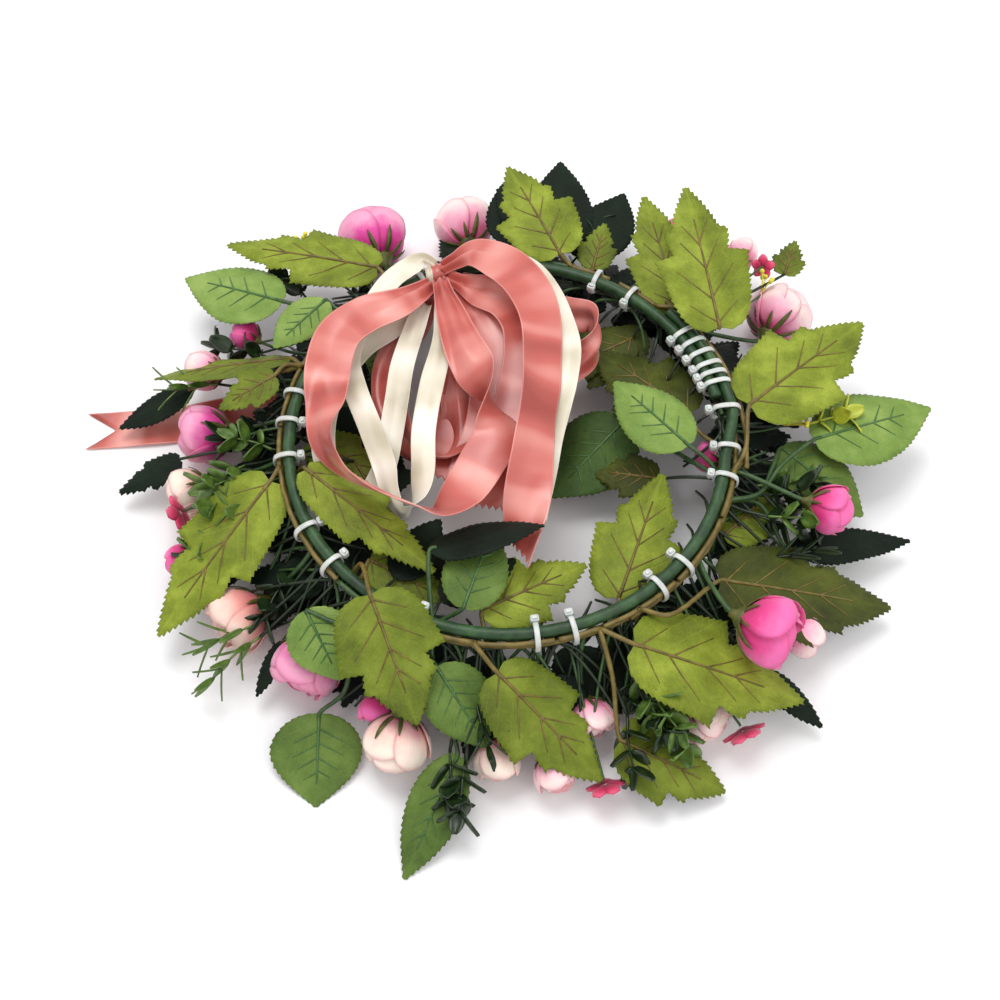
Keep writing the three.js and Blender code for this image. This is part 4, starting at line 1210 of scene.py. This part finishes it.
def low_sprigs(looks, chance):
    """Dark sprigs low under the picks, where no blossom is in the way; partly real sprigs, partly painted
    shade in the gaps.
    """
    surface = Surface()
    for k in range(LOW_SPRIGS):
        degrees = 360 * k / LOW_SPRIGS + chance.uniform(-2, 2)
        out, up = chance.uniform(6, 30), chance.uniform(-34, -20)
        heading = degrees + chance.uniform(-70, 70)
        look = chance.choice(("box_dark", "box_dark", "stem_dark"))
        if near_blossom(round_ring(degrees, out + 8, up)):
            continue
        sprig(
            surface, round_ring(degrees, out, up), heading, chance.uniform(-8, 6), chance.uniform(10, 18),
            look, chance.uniform(7, 10), chance.uniform(4, 6), 6, chance,
        )
    make_object(surface, "greenery_low_and_shade", looks)


def undergrowth(looks):
    chance = random.Random(7)
    under_stems(looks, chance)
    low_leaves(looks, chance)
    low_sprigs(looks, chance)


# ---------------------------------------------------------------------------------------------
# Ring, cable ties and bound stems.
# ---------------------------------------------------------------------------------------------

WRAP_PITCH = 8.5  # millimetres along the ring for each turn of the tape
WRAP_LAP = 0.16
TAPE_STATIONS = 900
TAPE_SIDES = 20
BLOCK_CORNER = 0.5  # 1 is a circle and 0 a square
STRAP_CORNER = 0.6
STRAP_HALF = 1.1
STRAP_HALF_DEPTH = 0.5


def strand_offset(degrees):
    lead = 360 + OVERLAP_START - STRAND_LEAD
    share = min(max((degrees - lead) / (STRAND_LEAD - 2), 0), 1)
    return STRAND_STEP * share * share * (3 - 2 * share)


def ring_tape(looks):
    """The spiral tape wrap: each turn laps over the last with a small step."""
    surface = Surface()
    stations, sides = TAPE_STATIONS, TAPE_SIDES
    rings = []
    for i in range(stations + 1):
        degrees = OVERLAP_START + (360 + OVERLAP_END - OVERLAP_START) * i / stations
        travel = math.radians(degrees) * RING_RADIUS
        ring = []
        for j in range(sides):
            turn = 2 * math.pi * j / sides
            lap = (travel / WRAP_PITCH - j / sides) % 1
            uneven = 0.08 * noise.noise(Vector((travel / 5, math.cos(turn), math.sin(turn))))
            radius = TAPE_RADIUS + 0.05 + WRAP_LAP * (lap - 0.5) + uneven
            out = strand_offset(degrees) + radius * math.cos(turn)
            ring.append(round_ring(degrees, out, radius * math.sin(turn)))
        rings.append(ring[::-1])
    surface.rings(rings, "tape")
    make_object(surface, "ring_tape", looks, node="ring_tape_wrap")


def block(surface, centre, axes, sizes, look):
    """A block with rounded edges, along three unit axes."""
    half = [s / 2 for s in sizes]
    corners = [soft_square(t, BLOCK_CORNER) for t in full_circle(24)]
    rings = []
    for along, shrink in ((-1, 0.72), (-0.93, 0.92), (-0.75, 1), (0.75, 1), (0.93, 0.92), (1, 0.72)):
        ring = []
        for wide, high in corners:
            x, y = wide * half[1] * shrink, high * half[2] * shrink
            ring.append(centre + axes[0] * along * half[0] + axes[1] * x + axes[2] * y)
        rings.append(ring)
    surface.rings(rings, look)


def cable_tie(degrees, looks):
    """A strap round the ring and its stems, a head with its pawl housing, and the snipped tail."""
    surface = Surface()
    at_overlap = OVERLAP_START - 8 < degrees < OVERLAP_END
    reach = STRAND_STEP + TAPE_RADIUS if at_overlap else OUTER[0] + STEM_RADIUS
    left, right = -3.2, reach + 0.8
    top, bottom = 3.2, INNER[1] - STEM_RADIUS - 0.8
    section = [
        (left, bottom + 2.4), (left, 0), (left + 0.3, top - 1.2), (left + 1.7, top - 0.1),
        (right - 3.4, top - 0.1), (right - 1, top - 1.4), (right, 0), (right, bottom + 2.6),
        (right - 2.4, bottom), (left + 2.4, bottom),
    ]
    loop = smooth_path([section[-1], *section, section[0]], 5)[5:-6]
    along, outward, up = ring_axes(degrees)
    rings = []
    for i, (out, high) in enumerate(loop):
        ahead = loop[(i + 1) % len(loop)] - loop[i - 1]
        ahead /= np.linalg.norm(ahead)
        normal = outward * ahead[1] - up * ahead[0]
        centre = round_ring(degrees, out, high)
        ring = []
        for t in full_circle(10):
            wide, deep = soft_square(t, STRAP_CORNER)
            ring.append(centre + along * (wide * STRAP_HALF) + normal * (deep * STRAP_HALF_DEPTH))
        rings.append(ring)
    surface.rings(rings, "nylon", closed=True)
    head = round_ring(degrees, left - 1.9, 1.2)
    block(surface, head, (up, outward, along), (3.2, 3.0, 3.5), "nylon")
    block(surface, head + up * 1.8, (up, outward, along), (1.1, 1.5, 2.2), "nylon")
    block(surface, head - outward * 0.3 - up * 2.3, (up, outward, along), (1.6, 0.9, 2.2), "nylon")
    name = f"{degrees:03d}"
    make_object(surface, f"tie_{name}", looks, node=f"cable_tie_{name}")


def bound_stems(looks):
    surface = Surface()
    chance = random.Random(23)
    for start, end, out, up, look in BOUND_STEMS:
        steps = max(4, round((end - start) / 3))
        points = [
            round_ring(
                start + (end - start) * i / steps,
                out + chance.uniform(-0.25, 0.25),
                up + chance.uniform(-0.3, 0.3),
            )
            for i in range(steps + 1)
        ]
        surface.tube(smooth_path(points, 4), 1.0, look, 8)
    make_object(surface, "stems_bound", looks)


# ---------------------------------------------------------------------------------------------
# Ribbons.
# ---------------------------------------------------------------------------------------------

PLEATS = 1.5
PINKED_DEPTH = 2.2
PINKED_TEETH = 7
SLANT = 14
SWALLOW_NOTCH = 13
RIBBON_STEPS = 10  # along the ribbon between two stations
RIBBON_COLUMNS = 28


def end_cut(kind, side):
    """How much shorter the ribbon's far end is at this share of its half width."""
    teeth = PINKED_DEPTH * abs((side * PINKED_TEETH / 2) % 1 - 0.5) * 2
    if kind == "pinked":
        return teeth
    if kind == "slanted":
        return teeth + SLANT * (1 - side) / 2
    if kind == "swallow":
        return SWALLOW_NOTCH * (1 - abs(side))
    return 0


def full_station(x, y, height, bank=0, share=1):
    """A station's bank and its share of the full width in percent, as a point for smooth_path."""
    return bank, share * 100, 0


def ribbon_surface(stations, width, look, cut, seed):
    """A satin strip along its stations. Where it is narrowed it keeps its cloth, in soft pleats."""
    surface = Surface()
    centre = smooth_path([s[:3] for s in stations], RIBBON_STEPS)
    extra = smooth_path([full_station(*s) for s in stations], RIBBON_STEPS)
    ahead = np.gradient(centre, axis=0)
    ahead /= np.linalg.norm(ahead, axis=1, keepdims=True)
    level = np.cross((0, 0, 1), ahead)
    level /= np.linalg.norm(level, axis=1, keepdims=True)
    bank = np.radians(extra[:, :1])
    lift = np.cross(ahead, level)
    side_way = level * np.cos(bank) + lift * np.sin(bank)
    face_way = np.cross(ahead, side_way)
    steps = np.linalg.norm(np.diff(centre, axis=0), axis=1)
    travel = np.concatenate([[0], np.cumsum(steps)])
    length = travel[-1]
    rows, uvs = [], []
    for i in range(len(centre)):
        row, uv = [], []
        for side in np.linspace(-1, 1, RIBBON_COLUMNS + 1):
            at = travel[i] * (length - end_cut(cut, side)) / length
            middle, across, facing = (
                np.array([np.interp(at, travel, way[:, k]) for k in range(3)])
                for way in (centre, side_way, face_way)
            )
            share = min(max(np.interp(at, travel, extra[:, 1]) / 100, 0.25), 1.0)
            pleat = width * share / (2 * PLEATS) / math.pi * math.sqrt(max(1 / share**2 - 1, 0) / 1.6)
            ripple = noise.noise(Vector((at / 22, side * 0.8, seed))) * 1.3
            off = pleat * math.sin(side * PLEATS * math.pi + seed) + ripple + 0.5 * side * side
            row.append(middle + across * side * share * width / 2 + facing * off)
            uv.append((side, at / 10))
        rows.append(row)
        uvs.append(uv)
    rows = np.array(rows)
    rows[..., 2] = np.maximum(rows[..., 2], GROUND)
    surface.sheet(rows, uvs, RIBBON_THICKNESS, look, look)
    return surface, length


def ribbon(name, look, width, cut, stations, looks, seed, node=None):
    surface, length = ribbon_surface(stations, width, look, cut, seed)
    made = make_object(surface, name, looks, "ribbon_bunch", node)
    return made


KNOT_BANDS = [(-4.4, 6.0, 4.1, "coral"), (-0.4, 6.0, 4.5, "coral"), (3.8, 4.4, 4.2, "cream")]
RIBBON_TIE = (7.4, 2.4, 3.5)  # place along the ring from the knot's middle, width, radius
RIBBON_TIE_DROP = 5.2  # from the ring's centreline down to the head of the tie


def band_round_ring(surface, place, width, radius, look, pleat=0.35):
    """One turn round the ring, with its place measured along the ring from the knot's middle."""
    along, outward, up = ring_axes(KNOT_ANGLE)
    middle = round_ring(KNOT_ANGLE, 0, 0)
    rings = []
    count = 40
    for i in range(count):
        turn = 2 * math.pi * i / count
        facing = outward * math.cos(turn) + up * math.sin(turn)
        ring = []
        for t in full_circle(20):
            wide = math.cos(t) * width / 2
            fold = pleat * math.cos(wide * 2.6 + 2 * math.sin(turn)) if math.sin(t) > 0 else 0
            deep = 0.55 * math.copysign(abs(math.sin(t)) ** 0.7, math.sin(t)) + fold * math.sin(t)
            skew = 0.8 * math.sin(turn + place)
            ring.append(middle + along * (place + wide + skew) + facing * (radius - 0.4 + deep))
        rings.append(ring[::-1])
    surface.rings(rings, look, closed=True)


def ribbon_knot(looks):
    """Gathered turns of ribbon round the ring, with a cream one beside them."""
    surface = Surface()
    for band in KNOT_BANDS:
        band_round_ring(surface, *band)
    return make_object(surface, "satin_knot", looks, "ribbon_bunch", "ribbon_knot")


def ribbon_tie(looks):
    """The cable tie beside the knot, with its head under the ring. It stands for no CAD node."""
    surface = Surface()
    place, width, radius = RIBBON_TIE
    along, outward, up = ring_axes(KNOT_ANGLE)
    band_round_ring(surface, place, width, radius, "nylon", pleat=0)
    head = round_ring(KNOT_ANGLE, 0, 0) + along * place - up * RIBBON_TIE_DROP
    block(surface, head, (outward, up, along), (3.2, 3.0, 3.5), "nylon")
    make_object(surface, "tie_ribbons", looks)


# ---------------------------------------------------------------------------------------------
# The crown.
# ---------------------------------------------------------------------------------------------


def build():
    make_camera()
    make_studio()
    looks = make_looks()
    frame["nodes"]["ring_core_wire"].data.materials[0] = wire_material()
    ring_tape(looks)
    for degrees in TIES:
        cable_tie(degrees, looks)
    bound_stems(looks)
    for order, (name, stem_look, lane, run, leaves) in enumerate(SPRAYS):
        leaf_spray(name, stem_look, lane, run, leaves, looks, order)
    loose_leaves(looks)
    for order, flower in enumerate(BLOSSOMS):
        blossom(*flower, looks, order + 1)
    small_blossoms(looks)
    crimson_flowers(looks)
    stamens(looks)
    greenery(looks)
    undergrowth(looks)
    ribbon_knot(looks)
    ribbon_tie(looks)
    for order, (name, look, width, cut, stations) in enumerate(RIBBONS):
        ribbon(name.replace("ribbon", "satin"), look, width, cut, stations, looks, order + 1.5, name)
    for order, (name, look, width, cut, stations) in enumerate(FILLER_RIBBONS):
        ribbon(name, look, width, cut, stations, looks, order + 30.5)
    tail, length = ribbon_surface(LOW_TAIL, CORAL_WIDTH, "coral", "swallow", 20)
    made = make_object(tail, "satin_low_tail", looks, "crown", "ribbon_low_tail")


build()
